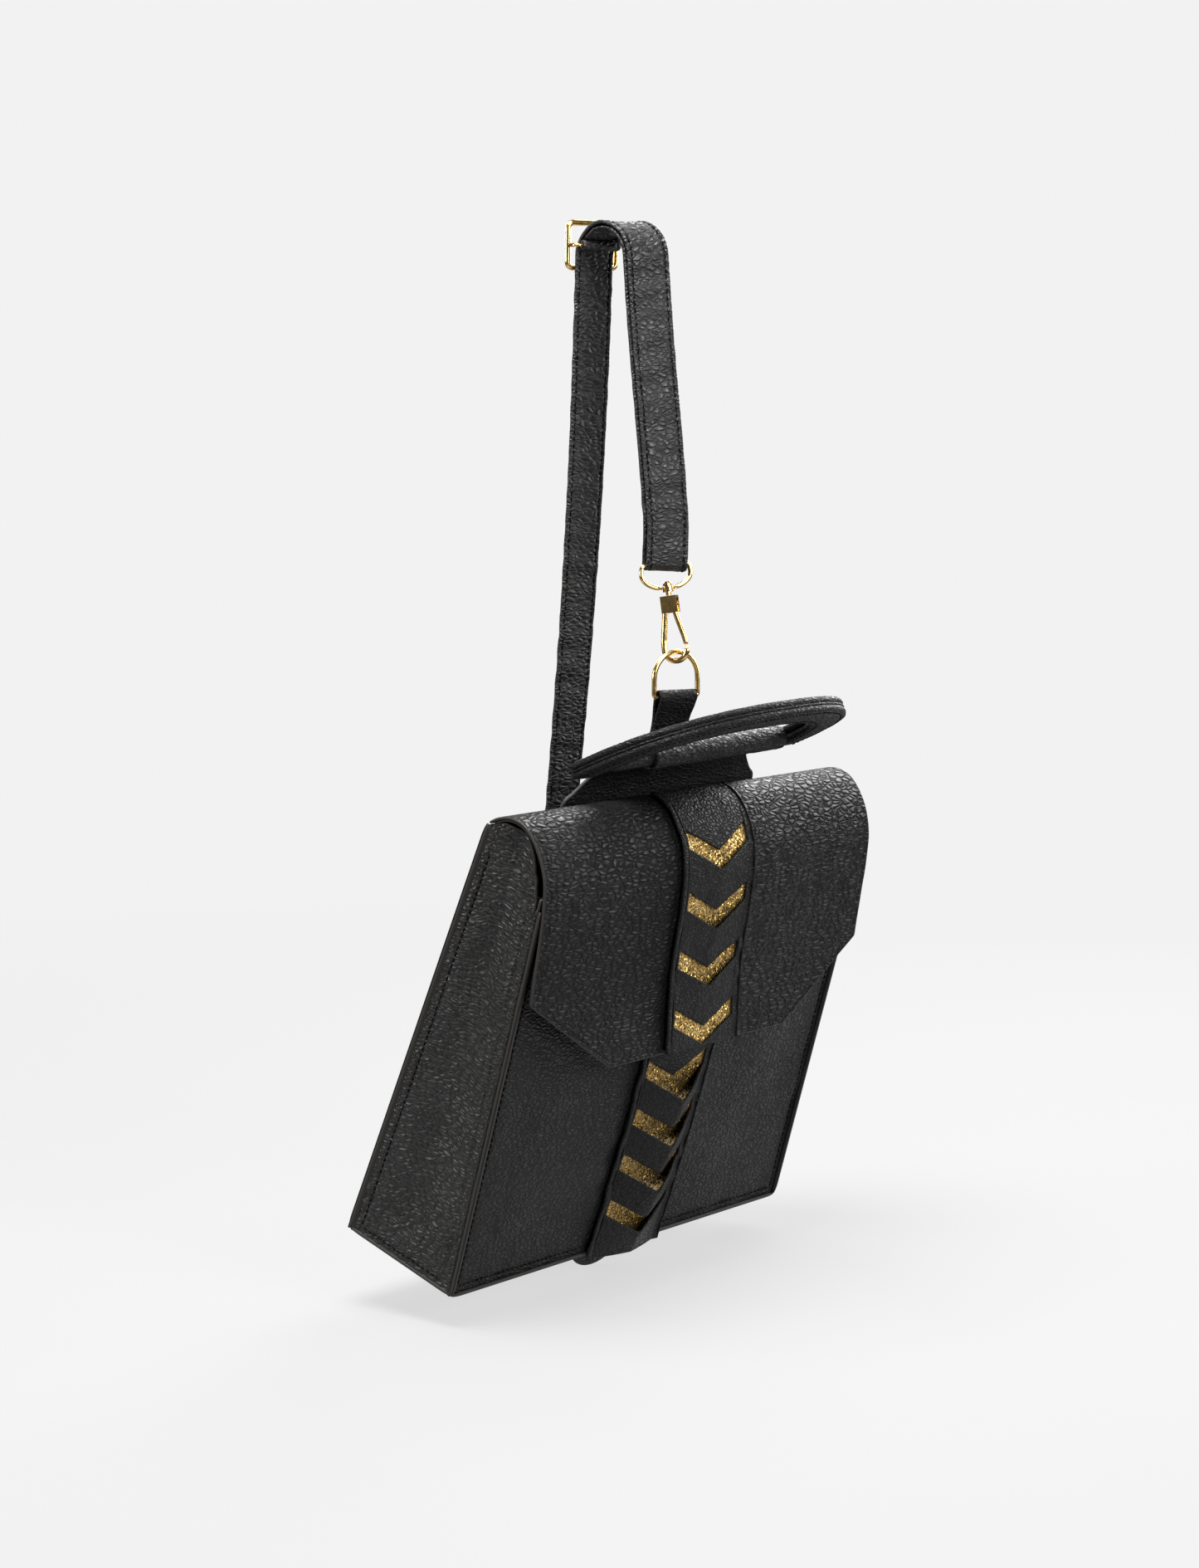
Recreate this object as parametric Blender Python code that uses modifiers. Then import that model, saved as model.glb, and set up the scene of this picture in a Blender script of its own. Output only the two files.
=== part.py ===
"""Flap handbag with a D handle, hanging from its doubled shoulder strap.

World frame: metres, +Z up, front facing -Y. The origin is the underside of the strap's arch, where a
peg would hold it. The bag itself hangs tilted, top forward, so its pieces are written in a bag frame:
x across, f forward and u up from the back top edge, in millimetres.
"""
import math

import bmesh
import bpy
from mathutils import Matrix, Vector

MM = 0.001

# Driving dimensions, in millimetres and degrees
WIDTH = 300.0
HEIGHT = 254.0
TOP_DEPTH = 45.0
BASE_DEPTH = 77.0
BAG_TILT = 19.8
LEATHER = 2.4
FLAP_LEATHER = 1.6
FLAP_LINING = 0.9
POCKET_LEATHER = 1.8
LINING = 0.8
GAP = 0.3
STRAP_WIDTH = 25.0
STRAP_THICK = 2.2
HANG = (-30.0, 313.0)          # forward and up from the back top edge to the hang point
ARCH_RADIUS = 15.0             # underside of the strap's arch
ARCH_OUTER = 17.8              # underside of the upper layer, clear of the lower one as both twist
FRONT_LEG_LEAN = 5.6
FRONT_LEG_LENGTH = 169.0
REAR_LEG_LEAN = 1.8
REAR_LEG_SWEEP = 39.1          # how far its lower end curves back, to the bag's bottom edge
REAR_LEG_LENGTH = 526.0
FRONT_LEG_TWIST = 29.0
REAR_LEG_TWIST = 18.0
RING_TWIST = 18.0
HOOK_TWIST = 69.0
RING_FORWARD = 9.5            # forward of the back top edge
HOOK_LEAN = 9.5
RING_BAR_UP = 56.5
RING_HEIGHT = 24.8
RING_WIRE = 2.8
HOOK_WIRE = 3.2
LOOP_WIRE = 2.6
SLEEVE_AT = (24.0, 40.5)       # f, u of the handle's bar
SLEEVE_LENGTH = 119.0
SLEEVE_RADIUS = 7.0
BAR_RADIUS = 4.6
HANDLE_SHIFT = -18.0
HANDLE_CHORD = 200.0
HANDLE_RISE = 70.0
HANDLE_RIM = 21.0
HANDLE_LAYER = 4.6
HANDLE_SLOPE = 43.0
HANDLE_ROLL = 0.9              # its right end higher
STRIP_WIDTH = 65.0
STRIP_THICK = 1.4
GOLD_THICK = 0.8
CHEVRON_HALF = 27.5
CHEVRON_SLOPE = 26.0
CHEVRON_BAND = 11.0
FLAP_PITCH = 33.5
FRONT_PITCH = 29.0
FLAP_CORNER = 79.0             # depth of the flap's side corner below the top edge
FLAP_TIP_HALF = 81.0

GATE_PIVOT = (1.6, -12.6)      # across and up from the swivel's top, in the hook's plane
HOOK_BELOW_RING = 39.2         # the swivel's top above the ring's crown
LOOP_BAR_UP = 9.5              # the loop's bar above the swivel's top
SLIDER_DOWN = -6.7             # down the rear leg from the arch
ARCH_STEPS = 10                # straight facets that make up the strap's arch

COLOURS = {
    "leather": ((0.018, 0.018, 0.02), 0.42, 0.0),
    "lining": ((0.03, 0.03, 0.032), 0.8, 0.0),
    "gold_fabric": ((0.62, 0.42, 0.1), 0.4, 0.6),
    "brass": ((0.83, 0.64, 0.3), 0.18, 1.0),
    "board": ((0.25, 0.2, 0.15), 0.8, 0.0),
}


# ---------------------------------------------------------------- scene helpers

def clear_scene():
    for obj in list(bpy.data.objects):
        bpy.data.objects.remove(obj, do_unlink=True)


def new_collection(name):
    collection = bpy.data.collections.new(name)
    bpy.context.scene.collection.children.link(collection)
    return collection


def new_material(name, kind):
    colour, roughness, metallic = COLOURS[kind]
    material = bpy.data.materials.new(name)
    material.use_nodes = True
    shader = material.node_tree.nodes["Principled BSDF"]
    shader.inputs["Base Color"].default_value = (*colour, 1.0)
    shader.inputs["Roughness"].default_value = roughness
    shader.inputs["Metallic"].default_value = metallic
    return material


def empty(name, at, parent=None, rotation=(0.0, 0.0, 0.0)):
    obj = bpy.data.objects.new(name, None)
    PARTS.objects.link(obj)
    obj.parent = parent
    obj.location = at
    obj.rotation_euler = rotation
    return obj


def place(name, mesh, kind, parent=None, pivot=(0.0, 0.0, 0.0)):
    """Links a mesh, written in its frame's coordinates, under an empty that stands at pivot."""
    mesh.transform(Matrix.Translation(-Vector(pivot)))
    mesh.materials.clear()
    mesh.materials.append(new_material(name, kind))
    obj = bpy.data.objects.new(name, mesh)
    PARTS.objects.link(obj)
    obj.parent = parent
    return obj


def finish_bmesh(name, bm):
    bmesh.ops.recalc_face_normals(bm, faces=bm.faces)
    mesh = bpy.data.meshes.new(name)
    bm.to_mesh(mesh)
    bm.free()
    return mesh


def sheet(obj, thickness, towards=None):
    """Thickens an open sheet on the side of the direction towards, or evenly on both sides."""
    modifier = obj.modifiers.new("thickness", "SOLIDIFY")
    modifier.thickness = thickness * MM
    modifier.use_even_offset = True
    modifier.offset = 0.0
    if towards is not None:
        normal = sum((p.normal * p.area for p in obj.data.polygons), Vector())
        modifier.offset = 1.0 if normal.dot(Vector(towards)) > 0 else -1.0
    return obj


def smooth(mesh, angle=40.0):
    mesh.shade_smooth()
    mesh.set_sharp_from_angle(angle=math.radians(angle))
    return mesh


FRONT = (0, -1, 0)
BACK = (0, 1, 0)
UP = (0, 0, 1)


def bag(x, f, u):
    return Vector((x, -f, u)) * MM


def turned_by(twist):
    """Rotation about the vertical that turns a face towards the bag's left."""
    return Matrix.Rotation(-math.radians(twist), 4, "Z")


# ---------------------------------------------------------------- shape helpers

def face_mesh(name, points):
    bm = bmesh.new()
    bm.faces.new([bm.verts.new(p) for p in points])
    mesh = bpy.data.meshes.new(name)
    bm.to_mesh(mesh)
    bm.free()
    return mesh


def strip_mesh(name, rows):
    """An open sheet through rows of points, every row with the same number of points."""
    bm = bmesh.new()
    made = [[bm.verts.new(p) for p in row] for row in rows]
    for upper, lower in zip(made, made[1:]):
        for i in range(len(upper) - 1):
            bm.faces.new((upper[i], lower[i], lower[i + 1], upper[i + 1]))
    mesh = bpy.data.meshes.new(name)
    bm.to_mesh(mesh)
    bm.free()
    return mesh


def wire_mesh(name, points, radius, cyclic=False, sides=2):
    """A round wire through points, as a mesh with closed ends."""
    curve = bpy.data.curves.new(name, "CURVE")
    curve.dimensions = "3D"
    curve.bevel_depth = radius
    curve.bevel_resolution = sides
    curve.use_fill_caps = True
    curve.render_resolution_u = 0
    spline = curve.splines.new("POLY")
    spline.points.add(len(points) - 1)
    for point, co in zip(spline.points, points):
        point.co = (*co, 1.0)
    spline.use_cyclic_u = cyclic
    guide = bpy.data.objects.new(name + "_curve", curve)
    PARTS.objects.link(guide)
    bpy.context.view_layer.update()
    graph = bpy.context.evaluated_depsgraph_get()
    mesh = bpy.data.meshes.new_from_object(guide.evaluated_get(graph))
    bpy.data.objects.remove(guide, do_unlink=True)
    bm = bmesh.new()
    bm.from_mesh(mesh)
    bmesh.ops.remove_doubles(bm, verts=bm.verts, dist=0.00001)
    bpy.data.meshes.remove(mesh)
    return smooth(finish_bmesh(name, bm))


def rod_mesh(name, radius, length, axis, centre, segments=16):
    bm = bmesh.new()
    bmesh.ops.create_cone(bm, cap_ends=True, segments=segments, radius1=radius, radius2=radius,
                          depth=length)
    turn = Vector((0, 0, 1)).rotation_difference(Vector(axis)).to_matrix().to_4x4()
    bmesh.ops.transform(bm, matrix=Matrix.Translation(centre) @ turn, verts=bm.verts)
    return smooth(finish_bmesh(name, bm))


def tube_mesh(name, inner, outer, length, axis, centre, segments=20):
    """A plain round tube: a ring profile swept once round its axis."""
    bm = bmesh.new()
    rings = []
    for radius, along in ((outer, -0.5), (outer, 0.5), (inner, 0.5), (inner, -0.5)):
        ring = []
        for i in range(segments):
            angle = 2 * math.pi * i / segments
            ring.append(bm.verts.new((radius * math.cos(angle), radius * math.sin(angle),
                                      along * length)))
        rings.append(ring)
    for first, second in zip(rings, rings[1:] + rings[:1]):
        for i in range(segments):
            j = (i + 1) % segments
            bm.faces.new((first[i], first[j], second[j], second[i]))
    turn = Vector((0, 0, 1)).rotation_difference(Vector(axis)).to_matrix().to_4x4()
    bmesh.ops.transform(bm, matrix=Matrix.Translation(centre) @ turn, verts=bm.verts)
    return smooth(finish_bmesh(name, bm))


def tool(name, mesh, parent):
    """A cutter or a body to be joined: it takes part in Booleans and isn't a piece itself."""
    obj = bpy.data.objects.new(name, mesh)
    CUTTERS.objects.link(obj)
    obj.parent = parent
    obj.hide_render = True
    obj.display_type = "WIRE"
    return obj


def boolean(obj, other, operation):
    modifier = obj.modifiers.new(other.name, "BOOLEAN")
    modifier.operation = operation
    modifier.object = other


# ---------------------------------------------------------------- profiles in the bag frame

def back_f(u):
    """f of the back panel's outer face at height u."""
    return (BASE_DEPTH - TOP_DEPTH) / 2 * u / HEIGHT


def front_f(u):
    """f of the front panel's outer face at height u."""
    return TOP_DEPTH - (BASE_DEPTH - TOP_DEPTH) / 2 * u / HEIGHT


FLAP_PROFILE = [(0.6, 1.4), (4, 4.6), (9, 7.6), (15, 9.4), (22, 9.2), (29, 6.2), (36, 0.6), (42, -6.6),
                (46.5, -14.5), (50, -25), (54, -44), (60, -FLAP_CORNER), (72, -120.5)]


def offset_profile(points, distance):
    """The polyline moved sideways: positive distances go to its outer, front side."""
    moved = []
    for i, (f, u) in enumerate(points):
        before = points[max(i - 1, 0)]
        after = points[min(i + 1, len(points) - 1)]
        run = Vector((after[0] - before[0], after[1] - before[1])).normalized()
        moved.append((f - run.y * distance, u + run.x * distance))
    return moved


def along_profile(points, distance):
    """Point and slope at a distance measured back from the profile's end."""
    for (f1, u1), (f0, u0) in zip(points[::-1], points[-2::-1]):
        length = math.hypot(f1 - f0, u1 - u0)
        if distance <= length:
            t = distance / length
            return (f1 + (f0 - f1) * t, u1 + (u0 - u1) * t), math.atan2(f1 - f0, u0 - u1)
        distance -= length
    return points[0], 0.0


def flap_rows(distance, half_width, tip_half):
    """Rows of a sheet on the flap's profile, narrowed at the last row."""
    rows = []
    profile = offset_profile(FLAP_PROFILE, distance)
    for i, (f, u) in enumerate(profile):
        half = tip_half if i == len(profile) - 1 else half_width
        rows.append([bag(-half, f, u), bag(half, f, u)])
    return rows


# ---------------------------------------------------------------- the bag's shell

def build_shell():
    half = WIDTH / 2
    back = [bag(x, back_f(u), u) for x, u in
            ((-half, -1.0), (half, -1.0), (half, -HEIGHT), (-half, -HEIGHT))]
    sheet(place("back_panel", face_mesh("back_panel", back), "leather", BAG), LEATHER, FRONT)
    top = -24.0
    front = [bag(x, front_f(u), u) for x, u in
             ((-half, top), (half, top), (half, -HEIGHT), (-half, -HEIGHT))]
    sheet(place("front_panel", face_mesh("front_panel", front), "leather", BAG), LEATHER, BACK)

    inset = LEATHER + GAP
    for name, side in (("left_gusset", -1), ("right_gusset", 1)):
        outline = [(back_f(-1) + inset, -1.6), (8, 2.6), (14, 4.8), (22, 4.6), (30, 0.0), (37, -7.0),
                   (front_f(top) - inset, top + 2.0),
                   (front_f(-HEIGHT) - inset, -HEIGHT), (back_f(-HEIGHT) + inset, -HEIGHT)]
        points = [bag(side * half, f, u) for f, u in outline]
        sheet(place(name, face_mesh(name, points), "leather", BAG), LEATHER, (-side, 0, 0))

    side_inset = half - inset
    base = [bag(x, f, -HEIGHT) for x, f in
            ((-side_inset, back_f(-HEIGHT) + inset), (-side_inset, front_f(-HEIGHT) - inset),
             (side_inset, front_f(-HEIGHT) - inset), (side_inset, back_f(-HEIGHT) + inset))]
    sheet(place("base_panel", face_mesh("base_panel", base), "leather", BAG), LEATHER, UP)
    board_up = -HEIGHT + LEATHER + GAP
    board_inset = inset + 1.2
    board = [bag(x, f, board_up) for x, f in
             ((-side_inset + 1, back_f(board_up) + board_inset),
              (-side_inset + 1, front_f(board_up) - board_inset),
              (side_inset - 1, front_f(board_up) - board_inset),
              (side_inset - 1, back_f(board_up) + board_inset))]
    sheet(place("base_board", face_mesh("base_board", board), "board", BAG), 2.0, UP)


def build_lining():
    """An open-topped pouch just inside the panels, resting on the base board."""
    low = -HEIGHT + LEATHER + GAP + 2.0 + GAP
    high = -26.0
    side = WIDTH / 2 - LEATHER - 2 * GAP
    inset = LEATHER + 2 * GAP
    bm = bmesh.new()
    bmesh.ops.create_cube(bm, size=2.0)
    for vert in bm.verts:
        u = high if vert.co.z > 0 else low
        f = front_f(u) - inset if vert.co.y < 0 else back_f(u) + inset
        vert.co = bag(side * vert.co.x, f, u)
    lid = max(bm.faces, key=lambda face: face.calc_center_median().z)
    bmesh.ops.delete(bm, geom=[lid], context="FACES_ONLY")
    mesh = bpy.data.meshes.new("lining")
    bm.to_mesh(mesh)
    bm.free()
    lining = sheet(place("lining", mesh, "lining", BAG), LINING)
    lining.modifiers["thickness"].offset = -1.0


def build_back_pocket():
    """A slip pocket that lies flat and empty on the back panel, its mouth at the top."""
    top = -113.0
    half = WIDTH / 2
    panel = [bag(x, back_f(u) - GAP, u) for x, u in
             ((-half, top), (half, top), (half, -HEIGHT), (-half, -HEIGHT))]
    sheet(place("back_pocket", face_mesh("back_pocket", panel), "leather", BAG), POCKET_LEATHER, BACK)


# ---------------------------------------------------------------- flap and chevron strips

def chevron_cutter(name, centre, slope, parent, pivot):
    """A V, pointing down, cut square to the leather at centre (f, u)."""
    rise = CHEVRON_HALF * math.tan(math.radians(CHEVRON_SLOPE))
    outline = [(0, 0), (CHEVRON_HALF, rise), (CHEVRON_HALF, rise + CHEVRON_BAND),
               (0, CHEVRON_BAND), (-CHEVRON_HALF, rise + CHEVRON_BAND), (-CHEVRON_HALF, rise)]
    bm = bmesh.new()
    face = bm.faces.new([bm.verts.new((x * MM, 0.0, z * MM)) for x, z in outline])
    depth = 5.0 * MM
    grown = bmesh.ops.extrude_face_region(bm, geom=[face])
    moved = [v for v in grown["geom"] if isinstance(v, bmesh.types.BMVert)]
    bmesh.ops.translate(bm, vec=(0, -depth, 0), verts=moved)
    bmesh.ops.translate(bm, vec=(0, depth / 2, 0), verts=bm.verts)
    turn = Matrix.Rotation(slope, 4, "X")
    shift = Matrix.Translation(bag(0, *centre) - Vector(pivot))
    bmesh.ops.transform(bm, matrix=shift @ turn, verts=bm.verts)
    return tool(name, finish_bmesh(name, bm), parent)


def build_flap():
    outer = flap_rows(0.0, WIDTH / 2, FLAP_TIP_HALF)
    sheet(place("flap_outer", strip_mesh("flap_outer", outer), "leather", FLAP), FLAP_LEATHER, BACK)
    inner = flap_rows(-FLAP_LEATHER - GAP, WIDTH / 2 - 3, FLAP_TIP_HALF - 3)
    sheet(place("flap_lining", strip_mesh("flap_lining", inner[1:]), "lining", FLAP), FLAP_LINING, BACK)

    half = STRIP_WIDTH / 2
    gold = flap_rows(GAP, half - 2, half - 2)
    sheet(place("flap_gold_backing", strip_mesh("flap_gold_backing", gold[4:]), "gold_fabric", FLAP),
          GOLD_THICK, FRONT)
    lift = GOLD_THICK + 2 * GAP
    rows = flap_rows(lift, half, half)
    strip = place("flap_strip", strip_mesh("flap_strip", rows[3:]), "leather", FLAP)
    sheet(strip, STRIP_THICK, FRONT)
    path = offset_profile(FLAP_PROFILE, lift)
    for i in range(4):
        centre, slope = along_profile(path, 3.0 + i * FLAP_PITCH)
        centre = (centre[0] + STRIP_THICK / 2, centre[1])
        boolean(strip, chevron_cutter(f"flap_chevron_{i}", centre, -slope * 0.9, FLAP, (0, 0, 0)),
                "DIFFERENCE")


def build_front_strip():
    half = STRIP_WIDTH / 2
    top = -100.0
    gold = [bag(x, front_f(u) + GAP, u) for x, u in
            ((-half + 2, top), (half - 2, top), (half - 2, -HEIGHT + 4), (-half + 2, -HEIGHT + 4))]
    sheet(place("front_gold_backing", face_mesh("front_gold_backing", gold), "gold_fabric", BAG),
          GOLD_THICK, FRONT)
    lift = GOLD_THICK + 2 * GAP
    low = -HEIGHT - 2.0
    face = [bag(x, front_f(u) + lift, u) for x, u in
            ((-half, top), (half, top), (half, low), (-half, low))]
    strip = place("front_strip", face_mesh("front_strip", face), "leather", BAG)
    sheet(strip, STRIP_THICK, FRONT)
    for i in range(4):
        u = -HEIGHT + 14.0 + i * FRONT_PITCH
        centre = (front_f(u) + lift + STRIP_THICK / 2, u)
        slope = -math.atan2((BASE_DEPTH - TOP_DEPTH) / 2, HEIGHT)
        boolean(strip, chevron_cutter(f"front_chevron_{i}", centre, slope, BAG, (0, 0, 0)),
                "DIFFERENCE")


def build_strip_tail():
    """The rounded tail that hangs below the base, sewn into its front seam."""
    half = 26.0
    drop = 22.0
    f = front_f(-HEIGHT) - 15.0
    steps = 12
    outline = [bag(half * math.cos(math.pi * i / steps), f,
                   -HEIGHT - GAP - drop * math.sin(math.pi * i / steps)) for i in range(steps + 1)]
    sheet(place("strip_tail", face_mesh("strip_tail", outline), "leather", BAG), 1.8)


def build_magnets():
    """The two halves of the hidden magnetic snap, one on the flap's lining and one on the panel."""
    u = -72.0
    radius, flap_thick, body_thick = 7.0, 2.4, 1.4
    corner, above = FLAP_PROFILE[-2], FLAP_PROFILE[-3]
    slope = math.atan2(corner[0] - above[0], above[1] - corner[1])
    flap_f = corner[0] - (u - corner[1]) * math.tan(slope)
    out = Vector((0.0, -math.cos(slope), math.sin(slope)))
    depth = FLAP_LEATHER + FLAP_LINING + 3 * GAP + flap_thick / 2
    disc = rod_mesh("flap_magnet", radius * MM, flap_thick * MM, out, bag(0, flap_f, u) - out * depth * MM)
    place("flap_magnet", disc, "brass", FLAP)
    slope = math.atan2((BASE_DEPTH - TOP_DEPTH) / 2, HEIGHT)
    out = Vector((0.0, -math.cos(slope), math.sin(slope)))
    centre = bag(0, front_f(u), u) + out * (GAP + body_thick / 2) * MM
    place("body_magnet", rod_mesh("body_magnet", radius * MM, body_thick * MM, out, centre), "brass", BAG)


# ---------------------------------------------------------------- handle

def handle_outline(chord_half, rise, steps=22):
    """Half a superellipse, fuller at its corners than an ellipse."""
    power = 2.0 / 2.35
    points = []
    for i in range(steps + 1):
        angle = math.pi * i / steps
        across = abs(math.cos(angle)) ** power * (1 if angle <= math.pi / 2 else -1)
        points.append((chord_half * across, rise * abs(math.sin(angle)) ** power))
    return points


def build_handle():
    slope = math.radians(HANDLE_SLOPE)
    along = Vector((0.0, -math.cos(slope), math.sin(slope)))
    normal = Vector((0.0, math.sin(slope), math.cos(slope)))
    back = 6.0
    outer = handle_outline(HANDLE_CHORD / 2, HANDLE_RISE)
    inner = handle_outline(HANDLE_CHORD / 2 - HANDLE_RIM, HANDLE_RISE - HANDLE_RIM)
    for name, level in (("handle_rim_upper", GAP / 2), ("handle_rim_lower", -GAP / 2 - HANDLE_LAYER)):
        rows = []
        for (x1, r1), (x2, r2) in zip(outer, inner):
            row = []
            for x, r in ((x1, r1), (x2, r2)):
                point = Vector((x + HANDLE_SHIFT, 0.0, 0.0)) + along * r + normal * level
                row.append(point * MM)
            rows.append(row)
        heel = [[p - along * back * MM for p in rows[0]]]
        toe = [[p - along * back * MM for p in rows[-1]]]
        mesh = strip_mesh(name, heel + rows + toe)
        sheet(place(name, mesh, "leather", HANDLE), HANDLE_LAYER, normal)
    bar_length = HANDLE_CHORD - 2 * HANDLE_RIM - 2.4
    bar = rod_mesh("handle_bar", BAR_RADIUS * MM, bar_length * MM, (1, 0, 0), (HANDLE_SHIFT * MM, 0, 0))
    place("handle_bar", bar, "leather", HANDLE)


def build_handle_tab():
    """The leather tab that carries the handle, and the sleeve it forms round the bar."""
    f, u = SLEEVE_AT
    sleeve = tube_mesh("handle_sleeve", (BAR_RADIUS + 0.4) * MM, SLEEVE_RADIUS * MM, SLEEVE_LENGTH * MM,
                       (1, 0, 0), (0, 0, 0), 24)
    place("handle_sleeve", sleeve, "leather", SLEEVE)
    route = [(-2.2, -14.0, 88.0), (-2.1, 3.0, 87.0), (-2.1, 9.0, 80.5), (-1.6, 15.0, 74.5),
             (-0.3, 20.0, 70.0), (4.0, 27.0, 64.0), (8.6, 32.8, 61.0), (12.4, 36.0, 61.0), (f - SLEEVE_RADIUS - GAP - 0.8, u - 0.6, 61.0)]
    rows = []
    for i, (tab_f, tab_u, half) in enumerate(route):
        lift = half * math.tan(math.radians(HANDLE_ROLL)) * i / (len(route) - 1)
        rows.append([bag(-half, tab_f, tab_u - lift), bag(half, tab_f, tab_u + lift)])
    sheet(place("handle_tab", strip_mesh("handle_tab", rows), "leather", BAG), 2.0)


# ---------------------------------------------------------------- anchor, ring and hook

def gravity(x, a, up):
    """World place of a point given across, forward and up from the back top edge."""
    return BACK_TOP + Vector((x, -a, up)) * MM


def build_anchor_tab():
    """The doubled tab behind the handle's: against the back below, round the ring's bar above."""
    tilt = Matrix.Rotation(math.radians(BAG_TILT), 4, "X")
    low = BACK_TOP + tilt @ bag(0, back_f(-32.0) - GAP - 3.4, -32.0)
    knee = BACK_TOP + tilt @ bag(0, -GAP - 5.1, 0.0)
    top = gravity(0, RING_FORWARD, RING_BAR_UP)
    rows = []
    half = STRAP_WIDTH / 2 * MM
    for point, twist in ((low, 0), (knee, 0), (knee.lerp(top, 0.25), 4), (knee.lerp(top, 0.5), 9),
                         (knee.lerp(top, 0.75), 14), (knee.lerp(top, 0.97), RING_TWIST)):
        side = turned_by(twist) @ Vector((half, 0, 0))
        rows.append([point - side, point + side])
    tab = sheet(place("anchor_tab", strip_mesh("anchor_tab", rows), "leather"), 3.8)
    axis = turned_by(RING_TWIST) @ Vector((1, 0, 0))
    bore = (RING_WIRE / 2 + 0.4) * MM
    round_end = tool("anchor_round", rod_mesh("anchor_round", 3.9 * MM, 2 * half, axis, top, 20), None)
    boolean(tab, round_end, "UNION")
    boolean(tab, tool("anchor_bore", rod_mesh("anchor_bore", bore, 4 * half, axis, top, 20), None),
            "DIFFERENCE")


def build_ring():
    """D ring: a straight bar below and a round top, written about its bar."""
    half = 14.6
    points = [(-half + 1.2, 0), (half - 1.2, 0), (half, 1.2)]
    shoulder = RING_HEIGHT - half
    for i in range(13):
        angle = math.pi * i / 12
        points.append((half * math.cos(angle), shoulder + half * math.sin(angle)))
    points.append((-half, 1.2))
    turn = turned_by(RING_TWIST)
    wire = [turn @ Vector((s, 0, v)) * MM for s, v in points]
    place("d_ring", wire_mesh("d_ring", wire, RING_WIRE / 2 * MM, cyclic=True), "brass", RING)


def hook_point(s, v):
    return Vector((s, 0, v)) * MM


def build_hook():
    """Swivel hook, written in its own plane about the swivel's top."""
    pin = [(0.0, 0.0), (1.6, 0.0), (2.6, -1.0), (2.6, -2.2), (1.5, -2.5), (1.5, -7.7), (0.0, -7.7)]
    profile = bmesh.new()
    verts = [profile.verts.new((r * MM, 0.0, v * MM)) for r, v in pin]
    for first, second in zip(verts, verts[1:]):
        profile.edges.new((first, second))
    bmesh.ops.spin(profile, geom=profile.edges[:], cent=(0, 0, 0), axis=(0, 0, 1),
                   angle=2 * math.pi, steps=16, use_merge=True)
    bmesh.ops.remove_doubles(profile, verts=profile.verts, dist=0.00001)
    place("swivel_pin", smooth(finish_bmesh("swivel_pin", profile)), "brass", HOOK)

    wide, deep, tall, wall, top = 9.0, 6.2, 9.4, 1.2, -8.0
    channel = [(-deep / 2, top - tall), (-deep / 2, top), (deep / 2, top), (deep / 2, top - tall),
               (deep / 2 - wall, top - tall), (deep / 2 - wall, top - wall),
               (-deep / 2 + wall, top - wall), (-deep / 2 + wall, top - tall)]
    points = [Vector((-wide / 2, n, v)) * MM for n, v in channel]
    box = sheet(place("hook_box", face_mesh("hook_box", points), "brass", HOOK), wide, (1, 0, 0))
    pivot = GATE_PIVOT
    hole = rod_mesh("box_hole", 1.1 * MM, 12 * MM, (0, 1, 0), hook_point(*pivot), 12)
    boolean(box, tool("box_hole", hole, HOOK), "DIFFERENCE")
    place("gate_rivet", rod_mesh("gate_rivet", 0.9 * MM, 6.6 * MM, (0, 1, 0), hook_point(*pivot), 12),
          "brass", HOOK)

    radius = 6.4
    bow = -37.9
    route = [(-2.7, -9.8), (-3.0, -15.0), (-radius + 0.2, bow + 5)]
    for i in range(11):
        angle = math.pi + math.pi * i / 10
        route.append((radius * math.cos(angle), bow + radius * math.sin(angle)))
    route.append((radius, bow + 1.0))
    wire = [hook_point(s, v) for s, v in route]
    place("hook_wire", wire_mesh("hook_wire", wire, HOOK_WIRE / 2 * MM), "brass", HOOK)

    tip = (radius, -35.9)
    lever = [Vector((s - pivot[0], 0, v - pivot[1])) * MM for s, v in
             (pivot, (2.9, -20.0), (5.6, -31.0), tip)]
    gate = place("hook_gate", wire_mesh("hook_gate", lever, 1.4 * MM), "brass", GATE)
    eye = rod_mesh("gate_eye", 2.0 * MM, 3.0 * MM, (0, 1, 0), (0, 0, 0), 16)
    boolean(gate, tool("gate_eye", eye, GATE), "UNION")
    bore = rod_mesh("gate_bore", 1.15 * MM, 8 * MM, (0, 1, 0), (0, 0, 0), 12)
    boolean(gate, tool("gate_bore", bore, GATE), "DIFFERENCE")


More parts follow.
